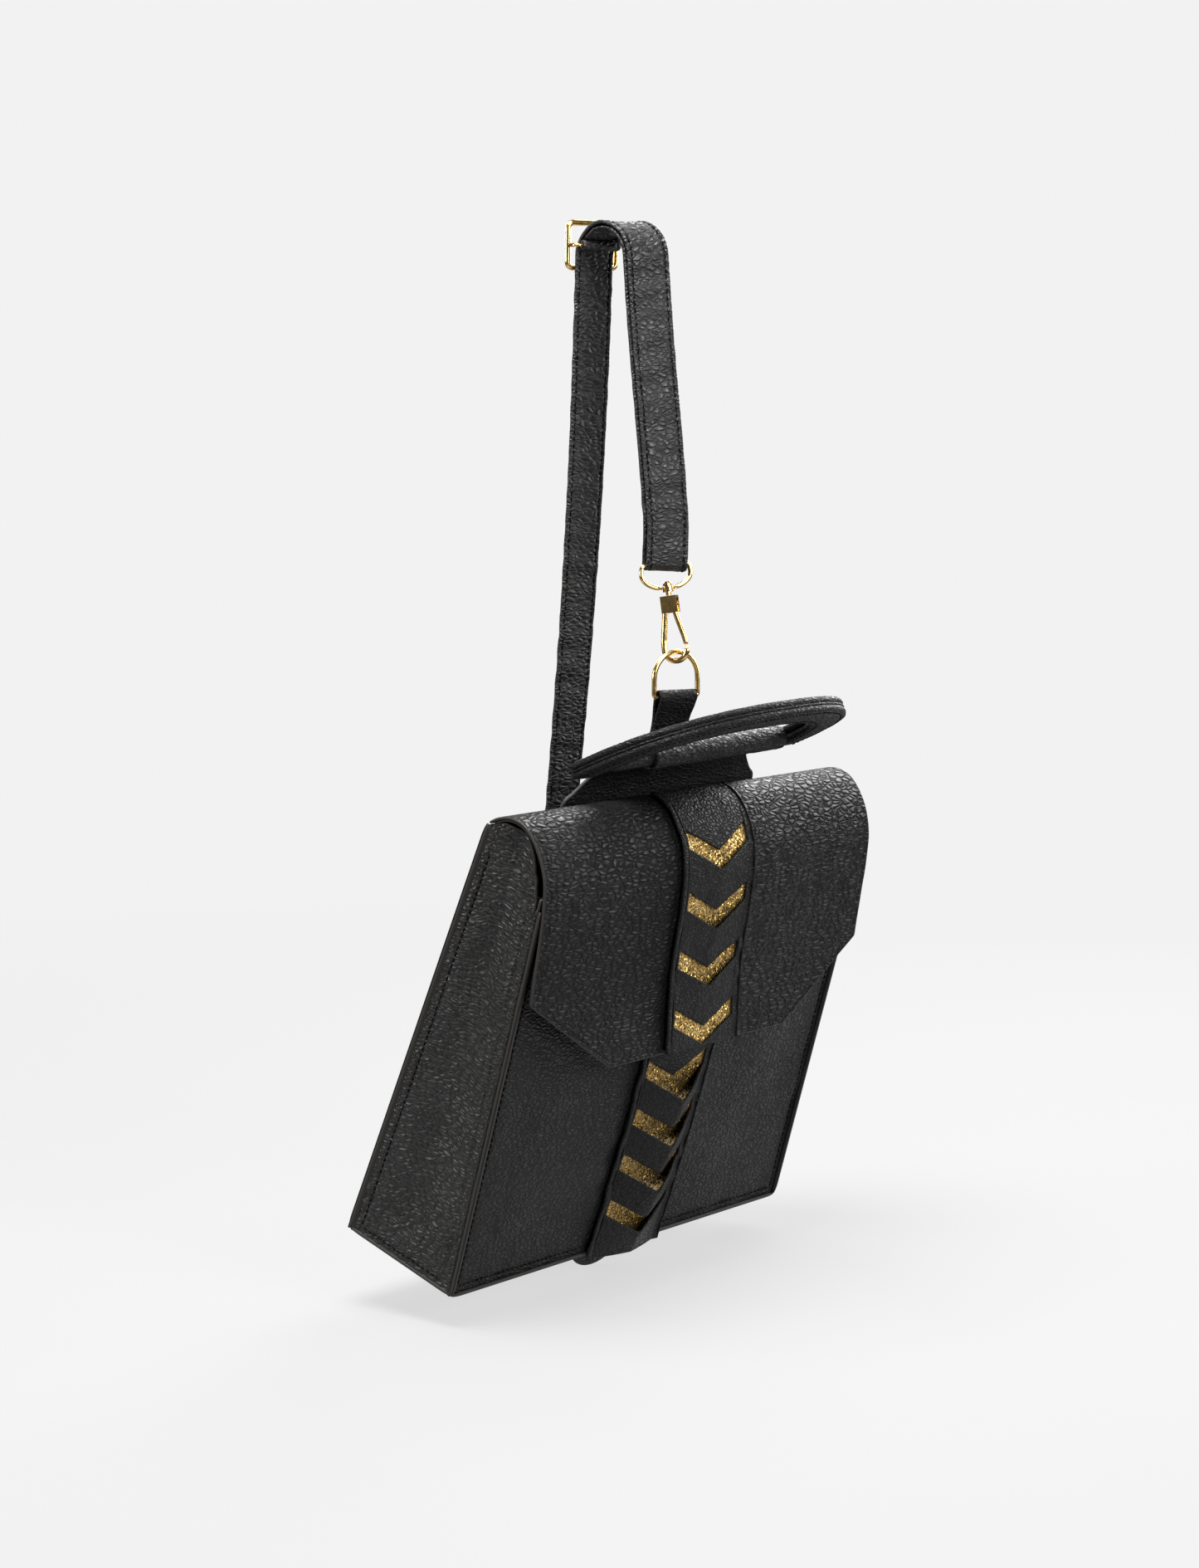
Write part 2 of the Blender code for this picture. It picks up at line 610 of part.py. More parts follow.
def build_hook_loop():
    """The oval loop in the strap's end, and the collar that the swivel pin turns in."""
    top = 15.6
    bar_half = 12.9
    side = 14.9
    shoulder = top - 5.0
    collar = 3.3
    drop = 8.4
    floor = shoulder - drop
    right = []
    for i in range(9):
        angle = -math.radians(70) + math.radians(70) * i / 8
        right.append((side * math.cos(angle), shoulder + drop * math.sin(angle)))
    right.insert(0, (collar + 0.4, floor + 0.05))
    for i in range(1, 5):
        angle = math.pi / 2 * i / 4
        right.append((bar_half + 2.0 * math.cos(angle), shoulder + 5.0 * math.sin(angle)))
    left = [(-s, v) for s, v in right[::-1]]
    turn = turned_by(FRONT_LEG_TWIST)
    base = Vector((0, 0, -3.9 - floor)) * MM
    wire = [turn @ (Vector((s, 0, v)) * MM + base) for s, v in right + left]
    place("hook_loop", wire_mesh("hook_loop", wire, LOOP_WIRE / 2 * MM), "brass", HOOK_TOP)
    place("swivel_collar", tube_mesh("swivel_collar", 1.9 * MM, collar * MM - GAP * MM, 3.0 * MM,
                                     (0, 0, 1), (0, 0, -4.2 * MM)), "brass", HOOK_TOP)


# ---------------------------------------------------------------- strap and slider

def ribbon(name, path, towards):
    """A flat strap along (forward, up, twist) points, given from the back top edge."""
    rows = []
    half = STRAP_WIDTH / 2 * MM
    for a, up, twist in path:
        side = turned_by(twist) @ Vector((half, 0, 0))
        point = gravity(0, a, up)
        rows.append([point - side, point + side])
    sheet(place(name, strip_mesh(name, rows), "leather"), STRAP_THICK, towards)


def arch_point(radius, angle):
    a = HANG[0] + radius * math.cos(math.radians(angle))
    up = HANG[1] - ARCH_RADIUS + radius * math.sin(math.radians(angle))
    return a, up


def arch_path(radius, steps):
    """Over the hang point from the front leg's top, by so many of the arch's equal steps."""
    span = 180.0 - REAR_LEG_LEAN - FRONT_LEG_LEAN
    path = []
    for i in range(steps + 1):
        t = i / ARCH_STEPS
        twist = FRONT_LEG_TWIST + (REAR_LEG_TWIST - FRONT_LEG_TWIST) * t
        path.append((*arch_point(radius, FRONT_LEG_LEAN + span * t), twist))
    return path


def front_leg(radius, cut):
    """Down the front leg from the arch, stopping cut short of the loop's bar."""
    a, up = arch_point(radius, FRONT_LEG_LEAN)
    lean = math.radians(FRONT_LEG_LEAN)
    length = FRONT_LEG_LENGTH - cut
    return [(a + length * t * math.sin(lean), up - length * t * math.cos(lean), FRONT_LEG_TWIST)
            for t in (0.003, 0.25, 0.5, 0.75, 1.0)]


def build_strap():
    cut = 4.1
    ribbon("strap_front_inner", front_leg(ARCH_RADIUS, cut), FRONT)
    ribbon("strap_front_outer", front_leg(ARCH_OUTER, cut), FRONT)
    ribbon("strap_arch_inner", arch_path(ARCH_RADIUS, ARCH_STEPS - 3), UP)
    ribbon("strap_arch_outer", arch_path(ARCH_OUTER, ARCH_STEPS), UP)

    axis = HOOK_TOP.matrix_world.to_3x3() @ (turned_by(FRONT_LEG_TWIST) @ Vector((1, 0, 0)))
    centre = HOOK_TOP.matrix_world @ Vector((0, 0, LOOP_BAR_UP * MM))
    fold = tube_mesh("strap_hook_fold", (LOOP_WIRE / 2 + 0.4) * MM, (LOOP_WIRE / 2 + 2.6) * MM,
                     STRAP_WIDTH * MM, axis, centre)
    place("strap_hook_fold", fold, "leather")


def rear_leg_point(distance):
    """A point down the rear leg's inner face, straight at first and then curving back."""
    a, up = arch_point(ARCH_OUTER, 180.0 - REAR_LEG_LEAN)
    lean = math.radians(REAR_LEG_LEAN)
    sweep = REAR_LEG_SWEEP * (distance / REAR_LEG_LENGTH) ** 2
    return a - distance * math.sin(lean) - sweep, up - distance * math.cos(lean)


def build_rear_leg():
    steps = 12
    path = []
    for i in range(steps + 1):
        t = i / steps
        path.append((*rear_leg_point(GAP + REAR_LEG_LENGTH * t), REAR_LEG_TWIST * (1 - t)))
    ribbon("strap_rear", path, BACK)


def build_slider():
    """Two-bar slider: its frame outside the strap, its centre bar inside holding the sewn end."""
    wire = 1.6
    turn = turned_by(REAR_LEG_TWIST)
    lean = Matrix.Rotation(math.radians(REAR_LEG_LEAN), 4, "X")
    frame = turn @ lean
    half_wide = 16.0
    half_tall = 12.4
    corner = 3.0
    points = []
    for cx, cz, start in ((1, 1, 0), (-1, 1, 90), (-1, -1, 180), (1, -1, 270)):
        for i in range(4):
            angle = math.radians(start + 30 * i)
            points.append((cx * (half_wide - corner) + corner * math.cos(angle),
                           cz * (half_tall - corner) + corner * math.sin(angle)))
    out = STRAP_THICK + wire + GAP
    loop = [frame @ (Vector((s, out, v)) * MM) for s, v in points]
    place("slider_frame", wire_mesh("slider_frame", loop, wire * MM, cyclic=True), "brass", SLIDER)
    inside = -4.4
    bar = [frame @ (Vector((s, n, 0)) * MM) for s, n in
           ((-half_wide, out - wire - GAP), (-half_wide, inside + 1.4), (-half_wide + 1.4, inside),
            (half_wide - 1.4, inside), (half_wide, inside + 1.4), (half_wide, out - wire - GAP))]
    place("slider_bar", wire_mesh("slider_bar", bar, 1.1 * MM), "brass", SLIDER)
    fold = tube_mesh("strap_sewn_end", 1.4 * MM, 2.3 * MM, 24.0 * MM, turn @ Vector((1, 0, 0)),
                     frame @ Vector((0, inside * MM, 0)))
    place("strap_sewn_end", fold, "leather", SLIDER)


def build_lower_patch():
    """The leather patch that holds the strap's lower end on the back's bottom edge."""
    half = 22.0
    outer = -GAP - 1.8 - GAP
    points = [bag(x, back_f(u) + outer, u) for x, u in
              ((-half, -228.0), (half, -228.0), (half, -HEIGHT), (-half, -HEIGHT))]
    sheet(place("lower_patch", face_mesh("lower_patch", points), "leather", BAG), POCKET_LEATHER, BACK)


# ---------------------------------------------------------------- assembly

clear_scene()
PARTS = new_collection("flap_handbag")
CUTTERS = new_collection("cutters")
BACK_TOP = Vector((0.0, HANG[0], -HANG[1])) * MM
TILT = math.radians(BAG_TILT)
BAG = empty("bag_frame", BACK_TOP, None, (TILT, 0.0, 0.0))
FLAP = empty("flap_hinge", (0, 0, 0), BAG)
ROLL = (0.0, -math.radians(HANDLE_ROLL), 0.0)
SLEEVE = empty("sleeve_frame", bag(0, *SLEEVE_AT), BAG, ROLL)
HANDLE = empty("handle_hinge", bag(0, *SLEEVE_AT), BAG, ROLL)
RING = empty("ring_hinge", gravity(0, RING_FORWARD, RING_BAR_UP))
LEAN = Matrix.Rotation(-math.radians(HOOK_LEAN), 3, "X")
SWIVEL_TOP = (gravity(0, RING_FORWARD, RING_BAR_UP + RING_HEIGHT)
              + LEAN @ Vector((0, 0, HOOK_BELOW_RING)) * MM)
HOOK_TOP = empty("hook_loop_frame", SWIVEL_TOP, None, LEAN.to_euler())
HOOK_TURN = LEAN @ Matrix.Rotation(-math.radians(HOOK_TWIST), 3, "Z")
HOOK = empty("hook_swivel", SWIVEL_TOP, None, HOOK_TURN.to_euler())
GATE = empty("gate_hinge", hook_point(*GATE_PIVOT), HOOK)
SLIDER = empty("slider_slide", gravity(0, *rear_leg_point(SLIDER_DOWN)))
bpy.context.view_layer.update()

build_shell()
build_lining()
build_back_pocket()
build_flap()
build_front_strip()
build_strip_tail()
build_magnets()
build_handle_tab()
build_handle()
build_anchor_tab()
build_ring()
build_hook()
build_hook_loop()
build_strap()
build_rear_leg()
build_slider()
build_lower_patch()
bpy.context.view_layer.update()
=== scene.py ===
"""Visual scene of the flap handbag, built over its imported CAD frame.

The bag hangs by its strap, tilted top forward, so most pieces are written in the bag's own frame:
x across, f forward and u up from the back top edge, in millimetres.
"""

import math

import bmesh
import bpy
import numpy as np
from mathutils import Matrix, Vector


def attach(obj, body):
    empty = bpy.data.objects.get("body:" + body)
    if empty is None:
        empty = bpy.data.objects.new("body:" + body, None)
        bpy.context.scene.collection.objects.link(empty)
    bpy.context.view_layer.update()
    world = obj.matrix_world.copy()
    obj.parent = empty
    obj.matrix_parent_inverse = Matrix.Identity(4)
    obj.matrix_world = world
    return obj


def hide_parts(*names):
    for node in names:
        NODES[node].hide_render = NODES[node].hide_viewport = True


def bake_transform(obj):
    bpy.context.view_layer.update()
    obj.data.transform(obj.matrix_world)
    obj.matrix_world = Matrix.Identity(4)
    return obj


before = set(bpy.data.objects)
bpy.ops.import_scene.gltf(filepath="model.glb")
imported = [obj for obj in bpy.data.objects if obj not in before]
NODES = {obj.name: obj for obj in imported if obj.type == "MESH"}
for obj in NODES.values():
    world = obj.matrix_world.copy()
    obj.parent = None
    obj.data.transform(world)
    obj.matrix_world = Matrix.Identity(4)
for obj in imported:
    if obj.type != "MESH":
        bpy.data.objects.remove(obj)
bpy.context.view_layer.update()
MM = 0.001

# ------------------------------------------------------------------ driving sizes (mm, degrees)
WIDTH, HEIGHT = 300.0, 254.0
TOP_DEPTH, BASE_DEPTH = 45.0, 77.0
TILT = math.radians(19.8)
BACK_TOP = np.array((0.0, -30.0, -313.0))
FLAP_PROFILE = [(0.6, 1.4), (4, 4.6), (9, 7.6), (15, 9.4), (22, 9.2), (29, 6.2), (36, 0.6), (42, -6.6),
                (46.5, -14.5), (50, -25), (54, -44), (60, -79), (72, -120.5)]
FLAP_TIP_HALF = 81.0
FLAP_CORNER = 79.0
STRIP_HALF = 32.5
CHEVRON_HALF = 27.5
CHEVRON_SLOPE = math.tan(math.radians(26.0))
CHEVRON_BAND = 11.0
FLAP_PITCH = 33.5
FRONT_PITCH = 29.0
STRAP_WIDTH = 25.0
STRAP_THICK = 2.2
ARCH_INNER, ARCH_OUTER = 15.0, 17.8
ARCH_AT = (-30.0, 298.0)
FRONT_LEAN, REAR_LEAN = math.radians(5.6), math.radians(1.8)
FRONT_TWIST, REAR_TWIST = 29.0, 18.0
REAR_LENGTH, REAR_SWEEP = 526.0, 39.1
HANDLE_SHIFT, HANDLE_CHORD, HANDLE_RISE, HANDLE_RIM = -18.0, 200.0, 70.0, 21.0
HANDLE_LAYER, HANDLE_SLOPE, HANDLE_ROLL = 4.6, math.radians(43.0), math.radians(0.9)
SLEEVE_F, SLEEVE_U, SLEEVE_LENGTH, SLEEVE_RADIUS = 24.0, 40.5, 119.0, 7.0
BAR_RADIUS = 4.6
HALF = WIDTH / 2
SEAM = 5.2                # from a panel's edge to its stitches
STRAP_SEAM = 9.9          # from the strap's middle to its stitches
BAND_COLUMNS = 45

CAMERA_AT = (-1.4679, -1.1444, -0.0908)
CAMERA_AZIMUTH = math.radians(51.71)
CAMERA_DROP = math.radians(6.67)
CAMERA_ROLL = math.radians(0.09)
CAMERA_LENS = 76.23
FLOOR_Z = -0.5902

EX = np.array((1.0, 0.0, 0.0))
EY = np.array((0.0, 1.0, 0.0))
EF = np.array((0.0, -math.cos(TILT), -math.sin(TILT)))
EU = np.array((0.0, -math.sin(TILT), math.cos(TILT)))


# ------------------------------------------------------------------ numbers and meshes

def unit(v):
    v = np.asarray(v, float)
    return v / np.maximum(np.linalg.norm(v, axis=-1, keepdims=True), 1e-9)


def bag(x, f, u):
    """World place in mm of points given in the bag's frame."""
    x, f, u = np.broadcast_arrays(np.asarray(x, float), f, u)
    return BACK_TOP + x[..., None] * EX + f[..., None] * EF + u[..., None] * EU


def gravity(a, up):
    """World place in mm of a point given forward and up from the back top edge."""
    return BACK_TOP + np.array((0.0, -a, up))


def back_f(u):
    return (BASE_DEPTH - TOP_DEPTH) / 2 * u / HEIGHT


def front_f(u):
    return TOP_DEPTH - (BASE_DEPTH - TOP_DEPTH) / 2 * u / HEIGHT


def soft_noise(a, b, size, seed):
    """Smooth irregular relief of about unit height, made of waves near one size."""
    rng = np.random.default_rng(seed)
    total = 0.0
    waves = 14
    for _ in range(waves):
        turn, phase = rng.uniform(0, 2 * math.pi, 2)
        k = 2 * math.pi / (size * rng.uniform(0.6, 1.8))
        total = total + np.cos(k * (a * math.cos(turn) + b * math.sin(turn)) + phase)
    return total / math.sqrt(waves / 2)


def bump(distance, width):
    return np.exp(-(distance / width) ** 2)


def ramp(v, low, high):
    t = np.clip((v - low) / (high - low), 0, 1)
    return t * t * (3 - 2 * t)


def spline(points, steps):
    """Dense smooth curve through points, as an array."""
    p = np.asarray(points, float)
    p = np.vstack([2 * p[0] - p[1], p, 2 * p[-1] - p[-2]])
    out = []
    for i in range(1, len(p) - 2):
        for t in np.linspace(0, 1, steps, endpoint=False):
            out.append(0.5 * (2 * p[i] + (p[i + 1] - p[i - 1]) * t
                              + (2 * p[i - 1] - 5 * p[i] + 4 * p[i + 1] - p[i + 2]) * t ** 2
                              + (3 * p[i] - p[i - 1] - 3 * p[i + 1] + p[i + 2]) * t ** 3))
    out.append(p[-2])
    return np.array(out)


def along(path):
    steps = np.linalg.norm(np.diff(path, axis=0), axis=1)
    return np.concatenate([[0], np.cumsum(steps)])


def resample(path, spacing):
    """The same polyline with points at an even spacing."""
    s = along(path)
    count = max(2, int(round(s[-1] / spacing)) + 1)
    at = np.linspace(0, s[-1], count)
    return np.stack([np.interp(at, s, path[:, i]) for i in range(path.shape[1])], axis=1)


def make(name, verts, faces, material, body=None, stands_for=()):
    """A smooth-shaded object from points in mm, riding on a body."""
    mesh = bpy.data.meshes.new(name)
    mesh.from_pydata((np.asarray(verts) * MM).tolist(), [], faces)
    mesh.update()
    mesh.shade_smooth()
    obj = bpy.data.objects.new(name, mesh)
    bpy.context.scene.collection.objects.link(obj)
    mesh.materials.append(material)
    if body is not None:
        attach(obj, body)
    if stands_for:
        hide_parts(*stands_for)
    return obj


def grid_faces(rows, columns, start=0, flip=False):
    index = start + np.arange(rows * columns).reshape(rows, columns)
    quads = np.stack([index[:-1, :-1], index[1:, :-1], index[1:, 1:], index[:-1, 1:]], axis=-1)
    quads = quads.reshape(-1, 4)
    return (quads[:, ::-1] if flip else quads).tolist()


def ring_faces(rows, around, start=0, flip=False, cyclic=False):
    """Quads between closed rings of points; cyclic also joins the last ring to the first."""
    faces = []
    for i in range(rows if cyclic else rows - 1):
        low, high = start + i * around, start + (i + 1) % rows * around
        for j in range(around):
            k = (j + 1) % around
            quad = [low + j, low + k, high + k, high + j]
            faces.append(quad[::-1] if flip else quad)
    return faces


def end_caps(rows, around):
    """The two faces that close a stack of rings."""
    return [list(range(around))[::-1], [(rows - 1) * around + j for j in range(around)]]


def grid_normals(p):
    du = np.gradient(p, axis=0)
    dv = np.gradient(p, axis=1)
    return unit(np.cross(dv, du))


def thick(p, thickness, outward, roundness=0.35):
    """Points and faces of a closed sheet with rounded edges. p is its outer face, outward a direction."""
    rows, columns = p.shape[:2]
    n = grid_normals(p)
    if np.mean(n @ np.asarray(outward, float)) < 0:
        n = -n
        flip = True
    else:
        flip = False
    edge = ([(0, j) for j in range(columns)] + [(i, columns - 1) for i in range(1, rows)]
            + [(rows - 1, j) for j in range(columns - 2, -1, -1)] + [(i, 0) for i in range(rows - 2, 0, -1)])
    loop = np.array([p[e] for e in edge])
    loop_n = np.array([n[e] for e in edge])
    tangent = unit(np.roll(loop, -1, 0) - np.roll(loop, 1, 0))
    out = unit(np.cross(tangent, loop_n))
    middle = p[rows // 2, columns // 2]
    if np.mean(np.sum(out * (loop - middle), axis=1)) < 0:
        out = -out
    rings = [loop + out * thickness * roundness * side - loop_n * thickness * level
             for side, level in ((0.8, 0.18), (1.0, 0.5), (0.8, 0.82))]
    verts = np.vstack([p.reshape(-1, 3), (p - n * thickness).reshape(-1, 3)] + rings)
    total = rows * columns
    count = len(edge)
    faces = grid_faces(rows, columns, 0, flip) + grid_faces(rows, columns, total, not flip)
    top = [i * columns + j for i, j in edge]
    chains = [top] + [list(range(2 * total + r * count, 2 * total + (r + 1) * count)) for r in range(3)]
    chains.append([total + k for k in top])
    for first, second in zip(chains, chains[1:]):
        for k in range(count):
            m = (k + 1) % count
            quad = [first[k], first[m], second[m], second[k]]
            faces.append(quad[::-1] if flip else quad)
    return verts, faces


def closed_sheet(name, p, thickness, outward, material, body, stands_for=()):
    verts, faces = thick(p, thickness, outward)
    obj = make(name, verts, faces, material, body, stands_for)
    # The rim faces take the edge colour, partly edge paint and partly a painted highlight.
    obj.data.materials.append(EDGE)
    rim_start = 2 * (p.shape[0] - 1) * (p.shape[1] - 1)
    indices = np.zeros(len(faces), dtype=np.int32)
    indices[rim_start:] = 1
    obj.data.polygons.foreach_set("material_index", indices)
    return fix_normals(obj)


def strip_profile(width, height, across=13):
    """Closed outline (side, up) of a flat band with round edges."""
    r = height / 2
    flat = np.linspace(-(width / 2 - r), width / 2 - r, across)
    arc = np.radians(np.linspace(90, -90, 7))[1:-1]
    right = [(width / 2 - r + r * math.cos(t), r * math.sin(t)) for t in arc]
    left = [(-x, -y) for x, y in right]
    return np.array([(x, r) for x in flat] + right + [(x, -r) for x in flat[::-1]] + left)


def round_profile(radius, steps=14):
    turn = np.linspace(0, 2 * math.pi, steps, endpoint=False)
    return np.stack([radius * np.cos(turn), radius * np.sin(turn)], axis=1)


def sweep_points(path, sides, profile, cyclic=False, taper=None, relief=None):
    """Points and faces of a profile swept along a path; sides is the direction of its first axis."""
    path = np.asarray(path, float)
    if cyclic:
        tangent = unit(np.roll(path, -1, 0) - np.roll(path, 1, 0))
    else:
        tangent = unit(np.gradient(path, axis=0))
    side = np.broadcast_to(np.asarray(sides, float), path.shape)
    side = unit(side - tangent * np.sum(side * tangent, axis=1, keepdims=True))
    up = np.cross(side, tangent)
    scale = np.ones(len(path)) if taper is None else np.asarray(taper)
    across = profile[None, :, 0] * scale[:, None]
    high = profile[None, :, 1] * scale[:, None]
    if relief is not None:
        high = high + relief(along(path)[:, None] + 0 * across, across)
    points = path[:, None] + side[:, None] * across[..., None] + up[:, None] * high[..., None]
    faces = ring_faces(len(path), len(profile), cyclic=cyclic)
    if not cyclic:
        faces += end_caps(len(path), len(profile))
    return points.reshape(-1, 3), faces


def fix_normals(obj):
    bm = bmesh.new()
    bm.from_mesh(obj.data)
    bmesh.ops.recalc_face_normals(bm, faces=bm.faces)
    bm.to_mesh(obj.data)
    bm.free()
    return obj


def sweep(name, path, sides, profile, material, body, cyclic=False, taper=None, relief=None,
          stands_for=()):
    verts, faces = sweep_points(path, sides, profile, cyclic, taper, relief)
    return fix_normals(make(name, verts, faces, material, body, stands_for))


def merge(parts):
    verts, faces, start = [], [], 0
    for v, f in parts:
        verts.append(v)
        faces += [[i + start for i in face] for face in f]
        start += len(v)
    return np.vstack(verts), faces


def rounded_ends(count, first=True, last=True):
    """Taper that rounds off a swept piece at its ends."""
    t = np.ones(count)
    for i, value in enumerate((0.55, 0.82, 0.96)):
        if first:
            t[i] = value
        if last:
            t[-1 - i] = value
    return t


STITCHES = {}
STITCH_SHAPE = ((-0.5, 0.45), (-0.36, 0.9), (0.0, 1.0), (0.36, 0.9), (0.5, 0.45))


def point_at(points, s, at):
    return np.array([np.interp(at, s, points[:, i]) for i in range(3)])


def stitch(body, path, normals, pitch=3.7, length=2.7, radius=0.36):
    """Sewing stitches along a path on a surface; they're gathered into one object a body."""
    path = np.asarray(path, float)
    normals = np.broadcast_to(np.asarray(normals, float), path.shape)
    s = along(path)
    rng = np.random.default_rng(len(path))
    for at in np.arange(pitch / 2, s[-1] - pitch / 4, pitch):
        centre = point_at(path, s, at)
        ahead = point_at(path, s, min(at + 0.8, s[-1]))
        behind = point_at(path, s, max(at - 0.8, 0))
        normal = unit(point_at(normals, s, at))
        run = unit(ahead - behind)
        side = unit(np.cross(normal, run))
        run = unit(run + side * rng.normal(0, 0.05))
        rings = []
        for t, scale in STITCH_SHAPE:
            lift = 0.12 - 0.32 * (2 * t) ** 2
            turn = np.linspace(0, 2 * math.pi, 6, endpoint=False)
            ring = (centre + run * t * length + normal * lift + side * np.cos(turn)[:, None] * radius * scale
                    + normal * np.sin(turn)[:, None] * radius * scale)
            rings.append(ring)
        faces = ring_faces(5, 6) + end_caps(5, 6)
        STITCHES.setdefault(body, []).append((np.vstack(rings), faces))


# ------------------------------------------------------------------ materials

def node_material(name):
    material = bpy.data.materials.new(name)
    material.use_nodes = True
    tree = material.node_tree
    shader = tree.nodes["Principled BSDF"]
    return material, tree, shader


def object_coordinates(tree, size, turn=TILT):
    """Object coordinates turned with the bag, in units of size (m)."""
    where = tree.nodes.new("ShaderNodeTexCoord")
    mapping = tree.nodes.new("ShaderNodeMapping")
    mapping.vector_type = "TEXTURE"
    mapping.inputs["Rotation"].default_value = (turn, 0, 0)
    mapping.inputs["Scale"].default_value = size
    tree.links.new(where.outputs["Object"], mapping.inputs["Vector"])
    return mapping.outputs["Vector"]


def noise_at(tree, vector, scale, detail=3.0):
    node = tree.nodes.new("ShaderNodeTexNoise")
    node.inputs["Scale"].default_value = scale
    node.inputs["Detail"].default_value = detail
    tree.links.new(vector, node.inputs["Vector"])
    return node


def remap(tree, value, low, high, new_low=0.0, new_high=1.0):
    node = tree.nodes.new("ShaderNodeMapRange")
    for key, number in (("From Min", low), ("From Max", high), ("To Min", new_low), ("To Max", new_high)):
        node.inputs[key].default_value = number
    tree.links.new(value, node.inputs["Value"])
    return node.outputs["Result"]


def maths(tree, kind, a, b):
    node = tree.nodes.new("ShaderNodeMath")
    node.operation = kind
    for socket, value in zip(node.inputs, (a, b)):
        if isinstance(value, (int, float)):
            socket.default_value = value
        else:
            tree.links.new(value, socket)
    return node.outputs[0]


def vector_maths(tree, kind, *values):
    node = tree.nodes.new("ShaderNodeVectorMath")
    node.operation = kind
    for socket, value in zip(node.inputs, values):
        if isinstance(value, tuple):
            socket.default_value = value
        else:
            tree.links.new(value, socket)
    return node.outputs[0]


def tint(tree, shader, factor, low, high):
    """Base colour that goes from low to high with factor."""
    mix = tree.nodes.new("ShaderNodeMix")
    mix.data_type = "RGBA"
    mix.inputs["A"].default_value = (*low, 1)
    mix.inputs["B"].default_value = (*high, 1)
    tree.links.new(factor, mix.inputs["Factor"])
    tree.links.new(mix.outputs["Result"], shader.inputs["Base Color"])


def emboss(tree, shader, height, depth):
    """Bump of a depth in mm."""
    raised = tree.nodes.new("ShaderNodeBump")
    raised.inputs["Strength"].default_value = 1.0
    raised.inputs["Distance"].default_value = depth * MM
    tree.links.new(height, raised.inputs["Height"])
    tree.links.new(raised.outputs["Normal"], shader.inputs["Normal"])


def leather(name, colour, grain=1.8, stretch=2.0, depth=0.3, rough=0.34, turn=TILT, specular=0.36, deep=1.25):
    """Pebbled leather: rounded cells with creases between them, over slow changes of gloss."""
    material, tree, shader = node_material(name)
    g = grain * MM
    vector = object_coordinates(tree, (g * stretch, g * deep, g), turn)
    warp = noise_at(tree, vector, 0.28, 2.0)
    bent = vector_maths(tree, "MULTIPLY_ADD", warp.outputs["Color"], (1.6,) * 3, vector)
    cells = tree.nodes.new("ShaderNodeTexVoronoi")
    cells.feature = "DISTANCE_TO_EDGE"
    cells.inputs["Scale"].default_value = 1.0
    tree.links.new(bent, cells.inputs["Vector"])
    dome = remap(tree, cells.outputs["Distance"], 0.0, 0.34)
    dome = maths(tree, "POWER", dome, 0.6)
    slow = noise_at(tree, vector, 0.05, 3.0).outputs["Fac"]
    strength = remap(tree, slow, 0.35, 0.65, 0.5, 1.0)
    pores = noise_at(tree, vector, 3.2, 3.0).outputs["Fac"]
    height = maths(tree, "ADD", maths(tree, "MULTIPLY", dome, strength), maths(tree, "MULTIPLY", pores, 0.1))
    emboss(tree, shader, height, depth)
    # Base colour drops to 45% in the creases between cells: painted shade in the creases.
    tint(tree, shader, dome, [c * 0.45 for c in colour], colour)
    gloss = maths(tree, "ADD", maths(tree, "MULTIPLY", slow, 0.26), rough - 0.13)
    gloss = maths(tree, "ADD", gloss, remap(tree, dome, 0.0, 1.0, 0.42, 0.0))
    tree.links.new(gloss, shader.inputs["Roughness"])
    shader.inputs["Specular IOR Level"].default_value = specular
    return material


def plain(name, colour, rough, metallic=0.0, grain=0.0, grain_size=0.4, specular=0.5):
    material, tree, shader = node_material(name)
    vector = object_coordinates(tree, (grain_size * MM,) * 3)
    spots = noise_at(tree, vector, 1.0, 4.0).outputs["Fac"]
    tint(tree, shader, spots, [c * 0.75 for c in colour], [min(1, c * 1.15) for c in colour])
    tree.links.new(remap(tree, spots, 0.3, 0.7, rough * 0.85, rough * 1.15), shader.inputs["Roughness"])
    shader.inputs["Metallic"].default_value = metallic
    shader.inputs["Specular IOR Level"].default_value = specular
    if grain:
        emboss(tree, shader, spots, grain)
    return material


def glitter(name):
    """Gold glitter fabric: small facets that face every way, some of them dark."""
    material, tree, shader = node_material(name)
    vector = object_coordinates(tree, (0.75 * MM,) * 3)
    cells = tree.nodes.new("ShaderNodeTexVoronoi")
    cells.inputs["Scale"].default_value = 1.0
    tree.links.new(vector, cells.inputs["Vector"])
    split = tree.nodes.new("ShaderNodeSeparateColor")
    tree.links.new(cells.outputs["Color"], split.inputs[0])
    colours = tree.nodes.new("ShaderNodeValToRGB")
    stops = colours.color_ramp.elements
    stops[0].position, stops[0].color = 0.0, (0.04, 0.02, 0.004, 1)
    stops[1].position, stops[1].color = 1.0, (0.9, 0.74, 0.4, 1)
    for at, colour in ((0.3, (0.27, 0.15, 0.03, 1)), (0.66, (0.62, 0.41, 0.12, 1))):
        stops.new(at).color = colour
    tree.links.new(split.outputs[0], colours.inputs["Fac"])
    tree.links.new(colours.outputs["Color"], shader.inputs["Base Color"])
    tilt = vector_maths(tree, "SUBTRACT", cells.outputs["Color"], (0.5,) * 3)
    geometry = tree.nodes.new("ShaderNodeNewGeometry")
    lean = vector_maths(tree, "MULTIPLY_ADD", tilt, (1.3,) * 3, geometry.outputs["Normal"])
    tree.links.new(vector_maths(tree, "NORMALIZE", lean), shader.inputs["Normal"])
    shader.inputs["Metallic"].default_value = 0.9
    tree.links.new(remap(tree, split.outputs[1], 0, 1, 0.18, 0.45), shader.inputs["Roughness"])
    return material


